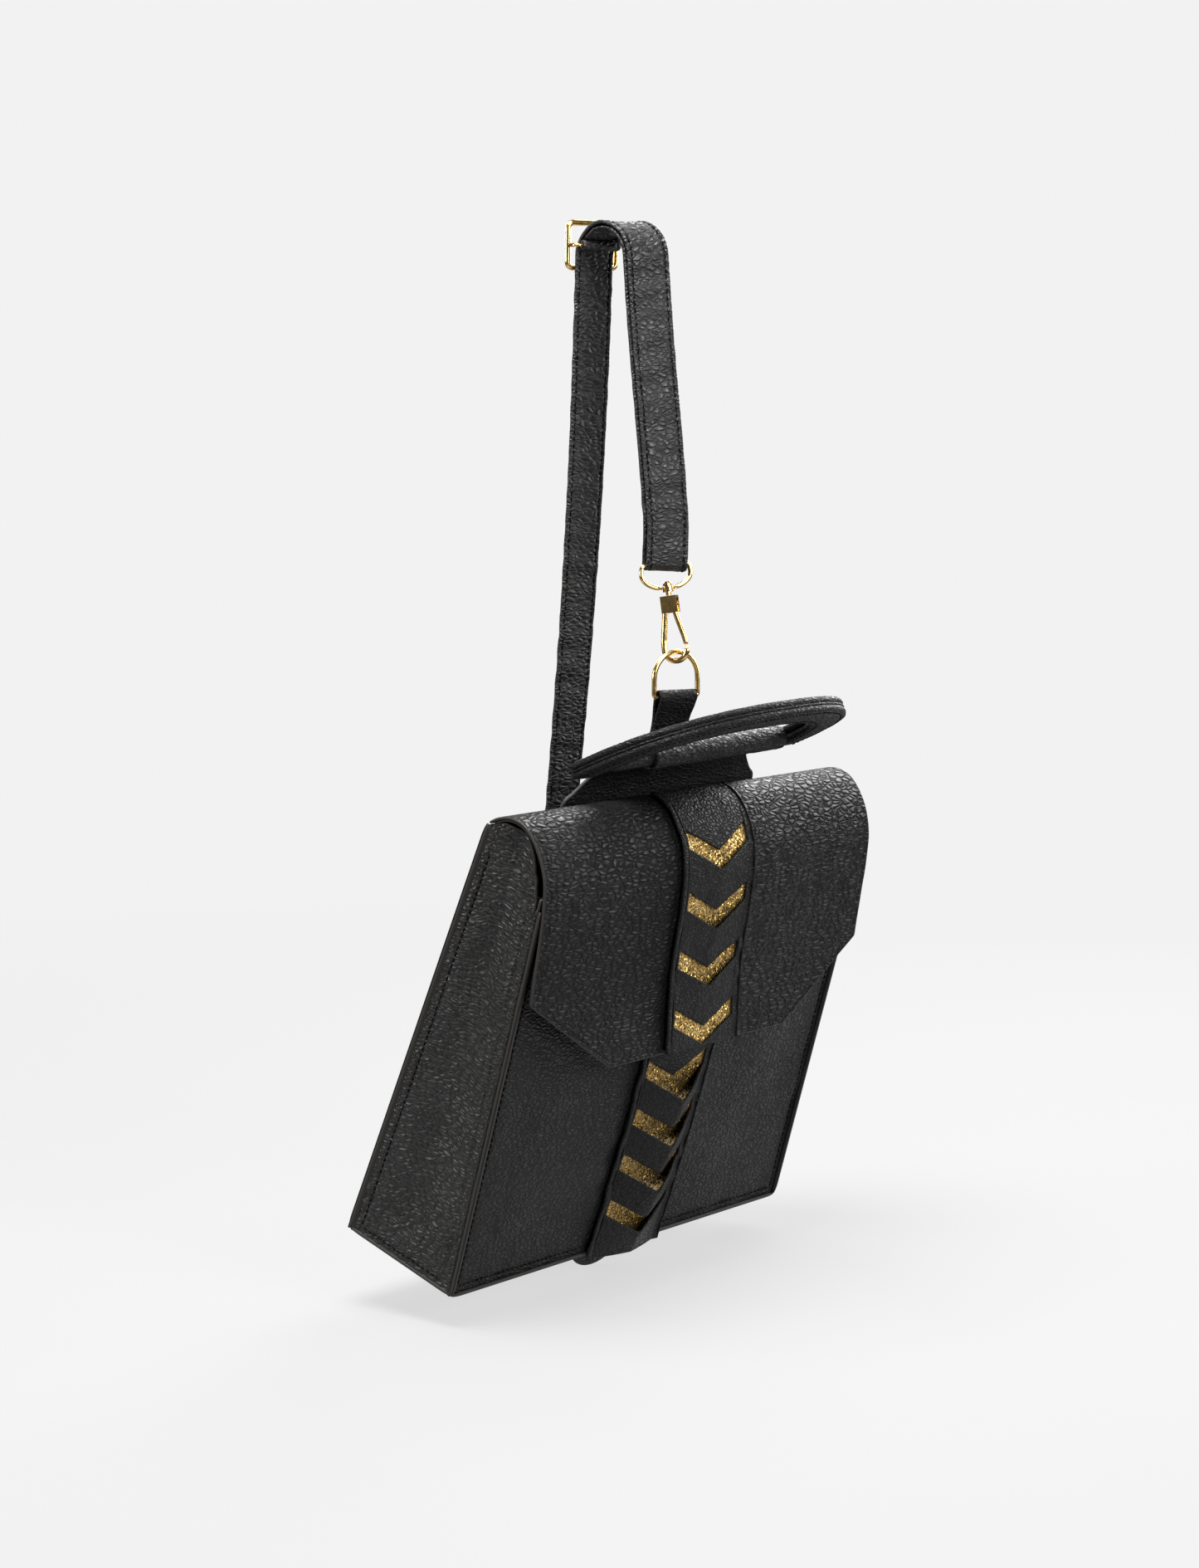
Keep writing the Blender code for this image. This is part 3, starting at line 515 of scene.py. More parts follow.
def woven(name, colour):
    material, tree, shader = node_material(name)
    vector = object_coordinates(tree, (0.9 * MM,) * 3)
    heights = []
    for direction in ("X", "Z"):
        wave = tree.nodes.new("ShaderNodeTexWave")
        wave.bands_direction = direction
        wave.inputs["Scale"].default_value = 0.32
        wave.inputs["Distortion"].default_value = 0.6
        tree.links.new(vector, wave.inputs["Vector"])
        heights.append(wave.outputs["Fac"])
    weave = maths(tree, "MULTIPLY", heights[0], heights[1])
    emboss(tree, shader, weave, 0.15)
    # Base colour drops to 60% where the weave is low: painted shade between the threads.
    tint(tree, shader, weave, [c * 0.6 for c in colour], colour)
    shader.inputs["Roughness"].default_value = 0.85
    shader.inputs["Sheen Weight"].default_value = 0.2
    return material


BLACK = (0.0055, 0.0053, 0.0052)
FLAP_LEATHER = leather("flap_leather", BLACK, grain=2.6, stretch=2.3, depth=0.95, rough=0.28, specular=0.11)
BODY_LEATHER = leather("body_leather", BLACK, grain=2.1, stretch=1.9, depth=0.85, rough=0.31, specular=0.19)
GUSSET_LEATHER = leather("gusset_leather", (0.008, 0.0073, 0.0066), grain=2.2, stretch=1.0, deep=2.4,
                         depth=0.8, rough=0.28, specular=0.27)
STRIP_LEATHER = leather("strip_leather", BLACK, grain=2.0, stretch=1.6, depth=0.5, rough=0.34, specular=0.16)
STRAP_LEATHER = leather("strap_leather", BLACK, grain=2.5, stretch=2.2, depth=0.65, rough=0.33, turn=0.0,
                        specular=0.44)
HANDLE_LEATHER = leather("handle_leather", BLACK, grain=2.1, stretch=1.9, depth=0.55, rough=0.34,
                         specular=0.15)
# The edge colour is several times lighter than the leather's black: partly the edges' own paint, partly a painted
# highlight along the rounded edges.
EDGE = plain("edge_paint_and_highlight", (0.018, 0.0155, 0.0138), 0.55, grain=0.05, specular=0.3)
THREAD = plain("black_thread", (0.003, 0.003, 0.003), 0.8, grain=0.06, grain_size=0.2, specular=0.05)
GOLD = glitter("gold_glitter_fabric")
BRASS = plain("polished_brass", (0.78, 0.53, 0.2), 0.2, metallic=1.0, grain_size=3.0)
LINING = woven("lining_weave", (0.03, 0.03, 0.032))


# ------------------------------------------------------------------ front panel, gussets, back, base

def panel_edges(x, u, top):
    """Distance from a panel's side and bottom edges, and from its top."""
    return np.minimum(HALF - np.abs(x), u + HEIGHT), top - u


def front_surface(x, u, lift=0.0):
    """The front panel's outer face: it bellies forward between its seams."""
    x, u = np.broadcast_arrays(np.asarray(x, float), u)
    v = np.clip((u + HEIGHT) / 150.0, 0, 1)
    belly = 6.0 * (1 - (np.abs(x) / HALF) ** 2.4) * (1 - (1 - v) ** 2) * (1 - 0.5 * ramp(u, -120, -24))
    return bag(x, front_f(u) + belly + lift, u)


def front_relief(x, u):
    d, _ = panel_edges(x, u, 0)
    relief = 0.45 * soft_noise(x, u, 62, 3) * ramp(d, 0, 40)
    relief = relief + 0.16 * soft_noise(x, u, 17, 4) * (1 - 0.7 * ramp(d, 5, 34))
    relief = relief + 0.3 * bump(x + 37.0, 6.0) * soft_noise(x * 0.6, u, 15, 5)
    relief = relief * ramp(np.abs(x), 31, 42)
    return relief - 0.55 * bump(d - SEAM, 0.9)


def front_panel():
    x = np.linspace(-149.2, 149.2, 210)
    u = np.linspace(-24.0, -HEIGHT + 0.4, 170)
    X, U = np.meshgrid(x, u)
    p = front_surface(X, U, front_relief(X, U))
    closed_sheet("front_leather", p, 2.2, EF, BODY_LEATHER, "body", ("front_panel",))
    for side in (-1, 1):
        run = np.linspace(-60, -HEIGHT + SEAM, 60)
        stitch("body", front_surface(side * (HALF - SEAM), run, -0.1), EF)
    run = np.linspace(-HALF + SEAM, HALF - SEAM, 80)
    stitch("body", front_surface(run, -HEIGHT + SEAM, -0.1), EF)


def gusset_point(side, t, u, sink=0.0):
    """t runs from the back edge to the front edge of a gusset."""
    t, u = np.broadcast_arrays(np.asarray(t, float), u)
    low = back_f(u) + 2.0
    high = front_f(u) - 2.0
    top = 4.0 - 30.0 * np.clip((t - 0.45) / 0.55, 0, 1) ** 2
    top = top - 6.0 * np.clip((0.25 - t) / 0.25, 0, 1) ** 2
    real_u = np.where(u > -60, top + (u - 4.0) * (60 + top) / 64.0, u)
    return bag(side * (149.6 - sink), low + (high - low) * t, real_u)


def gussets():
    t = np.linspace(0, 1, 56)
    u = np.linspace(4.0, -HEIGHT + 0.4, 170)
    T, U = np.meshgrid(t, u)
    depth = front_f(U) - back_f(U)
    d = np.minimum(np.minimum(T, 1 - T) * depth, U + HEIGHT)
    for side, name, seed in ((-1, "left_gusset", 11), (1, "right_gusset", 12)):
        sink = 2.6 * ramp(d, 2, 30) * (0.6 + 0.4 * np.cos((T - 0.55) * 6.0))
        sink = sink + 0.40 * soft_noise(T * depth, U, 48, seed) * ramp(d, 2, 20)
        sink = sink + 0.22 * soft_noise(T * depth, U, 14, seed + 3) * bump(U + 232, 24)
        sink = sink + 0.5 * bump(d - SEAM, 1.0)
        p = gusset_point(side, T, U, sink)
        closed_sheet(name + "_leather", p, 2.0, (side, 0, 0), GUSSET_LEATHER, "body", (name,))
        run = np.linspace(-14, -HEIGHT + SEAM, 70)
        depths = front_f(run) - back_f(run)
        stitch("body", gusset_point(side, SEAM / depths, run, 0.15), (side, 0, 0))
        stitch("body", gusset_point(side, np.linspace(0.08, 0.92, 30), -HEIGHT + SEAM, 0.15), (side, 0, 0))


def back_surface(x, u, lift=0.0):
    x, u = np.broadcast_arrays(np.asarray(x, float), u)
    return bag(x, back_f(u) - lift, u)


def back_panel():
    x = np.linspace(-149.2, 149.2, 150)
    u = np.linspace(-1.0, -HEIGHT + 0.4, 130)
    X, U = np.meshgrid(x, u)
    d, _ = panel_edges(X, U, 0)
    relief = 0.12 * soft_noise(X, U, 40, 21) * ramp(d, 0, 20) - 0.4 * bump(d - SEAM, 0.9) - 0.35
    closed_sheet("back_leather", back_surface(X, U, relief), 1.9, -EF, BODY_LEATHER, "body",
                 ("back_panel",))
    u = np.linspace(-113.0, -HEIGHT + 0.4, 90)
    X, U = np.meshgrid(x, u)
    d, from_top = panel_edges(X, U, -113.0)
    relief = 2.1 + 0.7 * (1 - (X / HALF) ** 2) * ramp(from_top, 40, 0)
    relief = relief + 0.2 * soft_noise(X, U, 46, 22) * ramp(d, 0, 16)
    relief = relief - 0.4 * bump(d - SEAM, 0.9) - 0.4 * bump(from_top - 8, 0.9)
    closed_sheet("slip_pocket", back_surface(X, U, relief), 1.6, -EF, BODY_LEATHER, "body",
                 ("back_pocket",))
    for side in (-1, 1):
        stitch("body", back_surface(side * (HALF - SEAM), np.linspace(-115, -HEIGHT + SEAM, 50), 2.0), -EF)
        stitch("body", back_surface(side * (HALF - SEAM), np.linspace(-4, -111, 50), -0.1), -EF)
    stitch("body", back_surface(np.linspace(-140, 140, 60), -121.0, 2.3 + 0.5), -EF)
    stitch("body", back_surface(np.linspace(-144, 144, 60), -HEIGHT + SEAM, 2.0), -EF)


def base():
    x = np.linspace(-147, 147, 100)
    f = np.linspace(back_f(-HEIGHT) + 2.6, front_f(-HEIGHT) - 2.6, 32)
    X, F = np.meshgrid(x, f)
    p = bag(X, F, -HEIGHT + 0.4 + 0.1 * np.abs(soft_noise(X, F, 36, 31)))
    closed_sheet("base_leather", p, 2.0, -EU, BODY_LEATHER, "body", ("base_panel",))


def edge_bead(name, path, sides, width=2.6, height=2.4, material=EDGE):
    path = resample(np.asarray(path, float), 2.5)
    sweep(name, path, sides, strip_profile(width, height, 5), material, "body",
          taper=rounded_ends(len(path)))


def seam_ridges():
    """The sewn edges: two leathers laid together, with their raw edges showing as a thin rim in the lighter edge
    colour, which is partly edge paint and partly a painted highlight.
    """
    run, back_run = np.linspace(-30, -HEIGHT + 1, 60), np.linspace(-1, -HEIGHT + 1, 60)
    for side, word in ((-1, "left"), (1, "right")):
        x = side * 149.4
        edge_bead("front_seam_" + word, bag(x, front_f(run) + 0.6, run), EX, 1.7, 3.2)
        fold = bag(side * 148.9, front_f(run) - 1.8, run)
        edge_bead("gusset_fold_" + word, fold, EX, 3.4, 2.4, GUSSET_LEATHER)
        edge_bead("back_seam_" + word, bag(x, back_f(back_run) - 0.2, back_run), EX, 1.7, 3.2)
        low = bag(x, np.linspace(back_f(-HEIGHT), front_f(-HEIGHT), 30), -HEIGHT + 0.9)
        edge_bead("gusset_low_seam_" + word, low, EX, 1.7, 2.2)
    x = np.linspace(-149, 149, 60)
    edge_bead("front_low_seam", bag(x, front_f(-HEIGHT) + 0.5, -HEIGHT + 0.7), EU, 1.8, 3.0)
    edge_bead("back_low_seam", bag(x, back_f(-HEIGHT) - 1.0, -HEIGHT + 0.7), EU, 1.8, 3.0)


def tail():
    """The rounded leather tail below the base, in front of its middle."""
    half, drop = 26.0, 22.0
    s = np.linspace(-0.985, 0.985, 41)
    v = np.linspace(0, 1, 16)
    S, V = np.meshgrid(s, v)
    f = front_f(-HEIGHT) - 14.1
    p = bag(half * S, f, -HEIGHT - 0.3 - V * drop * np.sqrt(1 - S ** 2))
    closed_sheet("tail_leather", p, 1.6, EF, STRIP_LEATHER, "body", ("strip_tail",))


def lining():
    """The cloth lining: four walls and a floor, with soft folds."""
    around = []
    inset = 3.6
    half = HALF - inset
    for u in np.linspace(-2.0, -249.0, 60):
        top = u > -26
        low, high = back_f(u) + inset, front_f(u) - inset
        if top:
            high = min(high, 44.0)
        ring = ([(x, low) for x in np.linspace(-half, half, 60)]
                + [(half, f) for f in np.linspace(low, high, 16)[1:]]
                + [(x, high) for x in np.linspace(half, -half, 60)[1:]]
                + [(-half, f) for f in np.linspace(high, low, 16)[1:-1]])
        ring = np.array(ring)
        drop = np.clip((ring[:, 1] - 8) / 36.0, 0, 1) ** 1.5 * 25.0
        real_u = u - drop * ramp(u, -60, -2)
        around.append(bag(ring[:, 0], ring[:, 1], real_u))
    p = np.array(around)
    count = p.shape[1]
    centre = bag(0, 22.5, -125)
    fold = np.abs(soft_noise(np.arange(count)[None, :] * 5.0, np.linspace(0, 250, 60)[:, None], 40, 41))
    inward = unit(centre - p)
    p = p + inward * (0.4 * fold)[..., None]
    inner = p + inward * 0.8
    verts = np.vstack([p.reshape(-1, 3), inner.reshape(-1, 3)])
    rows = p.shape[0]
    faces = []
    for level, flip in ((0, False), (rows * count, True)):
        faces += ring_faces(rows, count, level, flip)
        bottom = [level + (rows - 1) * count + j for j in range(count)]
        faces.append(bottom if not flip else bottom[::-1])
    for j in range(count):
        k = (j + 1) % count
        faces.append([j, rows * count + j, rows * count + k, k])
    obj = make("lining_cloth", verts, faces, LINING, "body", ("lining", "base_board"))
    fix_normals(obj)


front_panel()
gussets()
back_panel()
base()
seam_ridges()
tail()
lining()


# ------------------------------------------------------------------ flap

FLAP_CURVE = resample(spline(FLAP_PROFILE, 12), 1.25)
FLAP_S = along(FLAP_CURVE)
FLAP_LENGTH = FLAP_S[-1]


def flap_half(s):
    """Half the flap's width at a distance s from its hinge."""
    u = np.interp(s, FLAP_S, FLAP_CURVE[:, 1])
    t = np.clip((-FLAP_CORNER - u) / (120.5 - FLAP_CORNER), 0, 1)
    return WIDTH / 2 + (FLAP_TIP_HALF - WIDTH / 2) * t


def flap_surface(x, s, lift=0.0):
    """The flap's outer face, at a distance s from its hinge edge along its curve."""
    x, s = np.broadcast_arrays(np.asarray(x, float), s)
    f = np.interp(s, FLAP_S, FLAP_CURVE[:, 0])
    u = np.interp(s, FLAP_S, FLAP_CURVE[:, 1])
    run = unit(np.gradient(FLAP_CURVE, axis=0))
    nf = -np.interp(s, FLAP_S, run[:, 1])
    nu = np.interp(s, FLAP_S, run[:, 0])
    return bag(x, f + nf * lift, u + nu * lift)


def flap():
    s = np.linspace(0, FLAP_LENGTH, 150)
    t = np.linspace(-1, 1, 240)
    T, S = np.meshgrid(t, s)
    X = T * flap_half(S)
    edge = np.minimum(flap_half(S) - np.abs(X), FLAP_LENGTH - S)
    relief = 0.28 * soft_noise(X, S, 55, 51) * ramp(S, 60, 150)
    relief = relief + 0.10 * soft_noise(X, S, 20, 52) * ramp(S, 10, 60)
    relief = relief * (0.25 + 0.75 * ramp(np.abs(X), 31, 42)) - 0.35 * bump(edge - 3.4, 0.8) * ramp(S, 20, 40)
    relief = relief + 0.15 * bump(np.abs(X) - 36.0, 5.0) * soft_noise(X, S, 14, 53)
    closed_sheet("flap_leather_sheet", flap_surface(X, S, relief), 1.6, EF + EU, FLAP_LEATHER, "flap",
                 ("flap_outer",))
    s = np.linspace(2.0, FLAP_LENGTH - 0.8, 110)
    T, S = np.meshgrid(np.linspace(-1, 1, 120), s)
    X = T * (flap_half(S) - 0.8)
    relief = -2.0 + 0.10 * soft_noise(X, S, 30, 54)
    closed_sheet("flap_lining_sheet", flap_surface(X, S, relief), 0.8, EF + EU, EDGE_LINING, "flap",
                 ("flap_lining",))


EDGE_LINING = leather("flap_inner_leather", (0.02, 0.018, 0.017), grain=0.9, stretch=1.0, depth=0.04,
                      rough=0.6)
flap()


# ------------------------------------------------------------------ chevron strips

def tent(t, ridge):
    """Height across a band: up to a soft ridge at t = ridge, down again to its other end."""
    rise = np.where(t < ridge, (t + 1) / (1 + ridge), (1 - t) / (1 - ridge))
    return np.sqrt(np.clip(rise, 0, 1) ** 2 * 0.75 + 0.25 * np.clip(1 - t ** 2, 0, 1) ** 2)


def band_grid(rows):
    return np.meshgrid(np.linspace(-CHEVRON_HALF, CHEVRON_HALF, BAND_COLUMNS), np.linspace(0, 1, rows))


def band(surface, low, high, start_lift, bulge, seed, lean, foot):
    """One band of the cut strip. It lies flat at its lower V and stands off at its upper V.

    surface(x, v, lift) places it; low and high are the heights of its lower and upper V at x = 0."""
    X, W = band_grid(26)
    V = low + (high - low) * W + np.abs(X) * CHEVRON_SLOPE
    t = X / CHEVRON_HALF
    stand = bulge * (foot + (1 - foot) * W) * tent(t, lean)
    stand = stand + 0.15 * soft_noise(X, V, 15, seed) * (1 - np.abs(t) ** 4)
    return surface(X, V, start_lift + stand)


def strip_margins(surface, low, high, lift, side):
    """The uncut edge of the strip, from CHEVRON_HALF out to STRIP_HALF."""
    x = side * np.linspace(CHEVRON_HALF - 0.3, STRIP_HALF, 7)
    v = np.linspace(low, high, max(30, int((high - low) / 2)))
    X, V = np.meshgrid(x, v)
    return surface(X, V, lift + 0.15 * soft_noise(X, V, 10, 61))


def fold_ridge(surface, low, high, x, width, height, lift, seed, lump=0.5):
    """A raised, puckered fold of leather that runs beside the strip."""
    v = np.linspace(low, high, int((high - low) / 1.6))
    centre = surface(x + lump * 0.6 * soft_noise(v, 0 * v, 26, seed), v, lift + height * 0.25
                     + lump * 0.4 * soft_noise(v, 0 * v, 15, seed + 1))
    taper = 1 + 0.12 * lump * soft_noise(v, 0 * v, 11, seed + 2)
    return sweep_points(centre, EX, strip_profile(width, height, 7), taper=taper)


def cut_strip(name, surface, outward, body, node, tips, base_low, top, lift, bulges, lean, pucker, foot):
    """A whole strip: margins, the leather between the V cuts, and the folded seam beside it."""
    X, W = band_grid(20)
    rise = tips[0] + np.abs(X) * CHEVRON_SLOPE - base_low
    stand = bulges[0] * (0.6 + 0.4 * W) * tent(X / CHEVRON_HALF, lean)
    sheets = [surface(X, base_low + rise * W, lift + stand)]
    for i, (first, second) in enumerate(zip(tips, tips[1:]), 1):
        sheets.append(band(surface, first + CHEVRON_BAND, second, lift, bulges[i], 80 + i, lean, foot))
    X, W = band_grid(30)
    start = tips[-1] + CHEVRON_BAND + np.abs(X) * CHEVRON_SLOPE
    V = start + (top - start) * W
    sheets.append(surface(X, V, lift + 0.1 * soft_noise(X, V, 15, 70)))
    sheets += [strip_margins(surface, base_low, top, lift, side) for side in (-1, 1)]
    parts = [thick(p, 1.3, outward, 0.3) for p in sheets]
    for x, width, height, raised, seed, lump in ((-STRIP_HALF + 0.3, 3.6, 1.9, -0.2, 90, pucker),
                                                 (-CHEVRON_HALF - 1.6, 1.2, 0.9, 0.1, 95, 0.6 * pucker),
                                                 (STRIP_HALF - 0.3, 1.2, 1.0, 0.0, 97, 0.3 * pucker)):
        parts.append(fold_ridge(surface, base_low, top, x, width, height, lift + raised, seed, lump))
    verts, faces = merge(parts)
    fix_normals(make(name, verts, faces, STRIP_LEATHER, body, (node,)))


def flap_strip_surface(x, v, lift):
    """v is measured up from the flap's lower edge, along the leather."""
    return flap_surface(x, FLAP_LENGTH - np.asarray(v, float), lift)


def front_strip_surface(x, v, lift):
    """v is measured up from the panel's lower edge."""
    return front_surface(x, np.asarray(v, float) - HEIGHT, lift)


def gold_fabric(name, surface, low, high, outward, body, node, lift, seed):
    x = np.linspace(-STRIP_HALF + 2, STRIP_HALF - 2, 60)
    v = np.linspace(low, high, int((high - low) / 1.2))
    X, V = np.meshgrid(x, v)
    p = surface(X, V, lift + 0.14 * soft_noise(X, V, 16, seed) + 0.05 * soft_noise(X, V, 1.6, seed + 1))
    closed_sheet(name, p, 0.7, outward, GOLD, body, (node,))


FLAP_TIPS = [0.4 + i * FLAP_PITCH for i in range(4)]
FRONT_TIPS = [11.0 + i * FRONT_PITCH for i in range(4)]
gold_fabric("flap_gold_cloth", flap_strip_surface, 0.8, 139.0, EF + EU, "flap", "flap_gold_backing", 0.8, 101)
gold_fabric("front_gold_cloth", front_strip_surface, 3.0, 153.0, EF, "body", "front_gold_backing", 0.9, 105)
cut_strip("flap_cut_strip", flap_strip_surface, EF + EU, "flap", "flap_strip", FLAP_TIPS,
          -0.2, FLAP_LENGTH - 17.2, 2.1, (0.4, 3.0, 3.2, 2.4), 0.15, 0.3, 0.1)
cut_strip("front_cut_strip", front_strip_surface, EF, "body", "front_strip", FRONT_TIPS,
          -3.0, 153.0, 2.2, (8.0, 12.0, 12.0, 11.5), 0.08, 0.8, 0.72)


# ------------------------------------------------------------------ handle

def sleeve_frame(x, y, z):
    """World place of a point about the bar's middle, rolled with the handle."""
    rolled_x = x * math.cos(HANDLE_ROLL) - z * math.sin(HANDLE_ROLL)
    rolled_z = x * math.sin(HANDLE_ROLL) + z * math.cos(HANDLE_ROLL)
    return bag(rolled_x, SLEEVE_F - y, SLEEVE_U + rolled_z)


def handle_frame(x, r, level):
    """World place of a point in the handle's plane: x across, r out from the bar, level above the plane."""
    x, r, level = np.broadcast_arrays(np.asarray(x, float), r, level)
    y = -r * math.cos(HANDLE_SLOPE) + level * math.sin(HANDLE_SLOPE)
    z = r * math.sin(HANDLE_SLOPE) + level * math.cos(HANDLE_SLOPE)
    return sleeve_frame(x, y, z)


def handle_line(inset, steps=90):
    """The D's outline, moved in by inset, with straight heels at both ends."""
    power = 2.0 / 2.35
    turn = np.linspace(0, math.pi, steps)
    across = np.abs(np.cos(turn)) ** power * np.sign(np.cos(turn))
    x = (HANDLE_CHORD / 2 - inset) * across + HANDLE_SHIFT
    r = (HANDLE_RISE - inset) * np.abs(np.sin(turn)) ** power
    x = np.concatenate([[x[0]] * 2, x, [x[-1]] * 2])
    r = np.concatenate([[-6.0, -3.0], r, [-3.0, -6.0]])
    return x, r


def handle():
    outer_x, outer_r = handle_line(0.0)
    inner_x, inner_r = handle_line(HANDLE_RIM)
    across = np.linspace(0.03, 0.97, 15)
    half = HANDLE_LAYER / 2
    dome = half * (1 - np.abs(2 * across - 1) ** 8 * 0.35)
    profile = [(a, h) for a, h in zip(across, dome)] + [(1.0, 0.0)]
    profile += [(a, -h) for a, h in zip(across[::-1], dome[::-1])] + [(0.0, 0.0)]
    for name, level, node in (("handle_upper_layer", half + 0.15, "handle_rim_upper"),
                              ("handle_lower_layer", -half - 0.15, "handle_rim_lower")):
        rows = []
        count = len(outer_x)
        for i in range(count):
            end = 1.0 if 1 < i < count - 2 else (0.96 if i in (1, count - 2) else 0.85)
            ring = []
            for a, h in profile:
                x = outer_x[i] + (inner_x[i] - outer_x[i]) * a
                r = outer_r[i] + (inner_r[i] - outer_r[i]) * a
                seam = 0.45 * (bump(a - 0.17, 0.035) + bump(a - 0.83, 0.035)) * np.sign(h)
                wave = 0.10 * math.sin(i * 0.9) * math.sin(a * 9)
                ring.append(handle_frame(x, r, level + (h - seam) * end + wave))
            rows.append(ring)
        rows = np.array(rows)
        faces = ring_faces(*rows.shape[:2]) + end_caps(*rows.shape[:2])
        fix_normals(make(name, rows.reshape(-1, 3), faces, HANDLE_LEATHER, "handle", (node,)))
        sign = 1 if level > 0 else -1
        for a in (0.17, 0.83):
            x = outer_x + (inner_x - outer_x) * a
            r = outer_r + (inner_r - outer_r) * a
            path = handle_frame(x, r, level + sign * (half - 0.2))
            up = unit(handle_frame(0, 0, sign * 1.0) - handle_frame(0, 0, 0.0))
            stitch("handle", resample(path, 2.0), up, pitch=3.4, length=2.4, radius=0.32)
    x, r = handle_line(0.9)
    sides = unit(handle_frame(0, 0, 1.0) - handle_frame(0, 0, 0.0))
    welt = resample(handle_frame(x, r, 0.0), 2.0)
    sweep("handle_welt", welt, sides, round_profile(0.8, 8), HANDLE_LEATHER, "handle")
    length = HANDLE_CHORD - 2 * HANDLE_RIM - 2.4
    xs = HANDLE_SHIFT + np.linspace(-length / 2, length / 2, 60)
    sweep("handle_bar_cover", handle_frame(xs, 0.0, 0.0), EU, round_profile(BAR_RADIUS, 20), HANDLE_LEATHER,
          "handle", stands_for=("handle_bar",), taper=rounded_ends(60))


def sleeve_and_tab():
    xs = np.linspace(-SLEEVE_LENGTH / 2, SLEEVE_LENGTH / 2, 90)
    turn = np.linspace(0, 2 * math.pi, 40, endpoint=False)
    X, A = np.meshgrid(xs, turn, indexing="ij")
    radius = SLEEVE_RADIUS - 0.1 - 0.22 * np.abs(soft_noise(X, A * 7, 11, 111))
    outer = sleeve_frame(X, radius * np.sin(A), radius * np.cos(A))
    inner = sleeve_frame(X, (BAR_RADIUS + 0.4) * np.sin(A), (BAR_RADIUS + 0.4) * np.cos(A))
    n, m = outer.shape[:2]
    verts = np.vstack([outer.reshape(-1, 3), inner.reshape(-1, 3)])
    faces = ring_faces(n, m) + ring_faces(n, m, n * m, flip=True)
    for i in (0, n - 1):
        for j in range(m):
            k = (j + 1) % m
            quad = [i * m + j, n * m + i * m + j, n * m + i * m + k, i * m + k]
            faces.append(quad if i == 0 else quad[::-1])
    fix_normals(make("handle_sleeve_leather", verts, faces, HANDLE_LEATHER, "body",
                     ("handle_sleeve",)))

    route = [(-2.2, -14.0, 88.0), (-2.1, 3.0, 87.0), (-2.1, 9.0, 80.5), (-1.6, 15.0, 74.5),
             (-0.3, 20.0, 70.0), (4.0, 27.0, 64.0), (8.6, 32.8, 61.0), (12.4, 36.0, 61.0), (16.0, SLEEVE_U - 0.6, 60.5)]
    line = spline(route, 8)
    t = np.linspace(-1, 1, 80)
    lift = line[:, 2] * math.tan(HANDLE_ROLL) * np.linspace(0, 1, len(line))
    x = line[:, 2][:, None] * t[None]
    f = line[:, 0][:, None] + 0 * x
    u = line[:, 1][:, None] + lift[:, None] * t[None]
    run = unit(np.gradient(line[:, :2], axis=0))
    relief = 1.0 + 0.18 * soft_noise(x, u, 24, 121)
    p = bag(x, f + run[:, 1][:, None] * relief, u - run[:, 0][:, None] * relief)
    closed_sheet("handle_tab_leather", p, 2.0, EF, HANDLE_LEATHER, "body", ("handle_tab",))


handle()
sleeve_and_tab()


# ------------------------------------------------------------------ strap

def turned(twist):
    a = np.radians(twist)
    return np.stack([np.cos(a), -np.sin(a), 0 * np.asarray(a)], axis=-1)


def turn_matrix(twist):
    return np.array(Matrix.Rotation(-math.radians(twist), 3, "Z"))


def lean_matrix(degrees):
    return np.array(Matrix.Rotation(math.radians(degrees), 3, "X"))


def arch_at(radius, angle):
    return gravity(ARCH_AT[0] + radius * math.cos(angle), ARCH_AT[1] + radius * math.sin(angle))


def front_leg_at(radius, distance):
    top = arch_at(radius, FRONT_LEAN)
    return top + distance * np.array((0, -math.sin(FRONT_LEAN), -math.cos(FRONT_LEAN)))


def rear_leg_at(distance, out):
    top = arch_at(ARCH_OUTER + out, math.pi - REAR_LEAN)
    sweep_back = REAR_SWEEP * (max(distance, 0) / REAR_LENGTH) ** 2
    return top + np.array((0, distance * math.sin(REAR_LEAN) + sweep_back, -distance * math.cos(REAR_LEAN)))


HOOK_LEAN = lean_matrix(-9.5)
RING_AT, RING_TWIST = gravity(9.5, 56.5), 18.0
SWIVEL_TOP = gravity(9.5, 81.3) + HOOK_LEAN @ np.array((0, 0, 39.2))
LOOP_BAR = SWIVEL_TOP + HOOK_LEAN @ np.array((0, 0, 9.5))
SLIDER_AT = rear_leg_at(-6.7, 0.0)
SLIDER_TURN = turn_matrix(REAR_TWIST) @ lean_matrix(1.8)
SLIDER_BAR = -4.4


def arch_twist(angle):
    t = (angle - FRONT_LEAN) / (math.pi - REAR_LEAN - FRONT_LEAN)
    return FRONT_TWIST + (REAR_TWIST - FRONT_TWIST) * t


def strap_wrinkles(seed, amount=0.16):
    """Cross creases in a strap."""
    def relief(s, across):
        creases = soft_noise(across * 0.25, s, 9, seed) * amount
        return creases + soft_noise(across * 0.6, s, 3.6, seed + 1) * amount * 0.3
    return relief


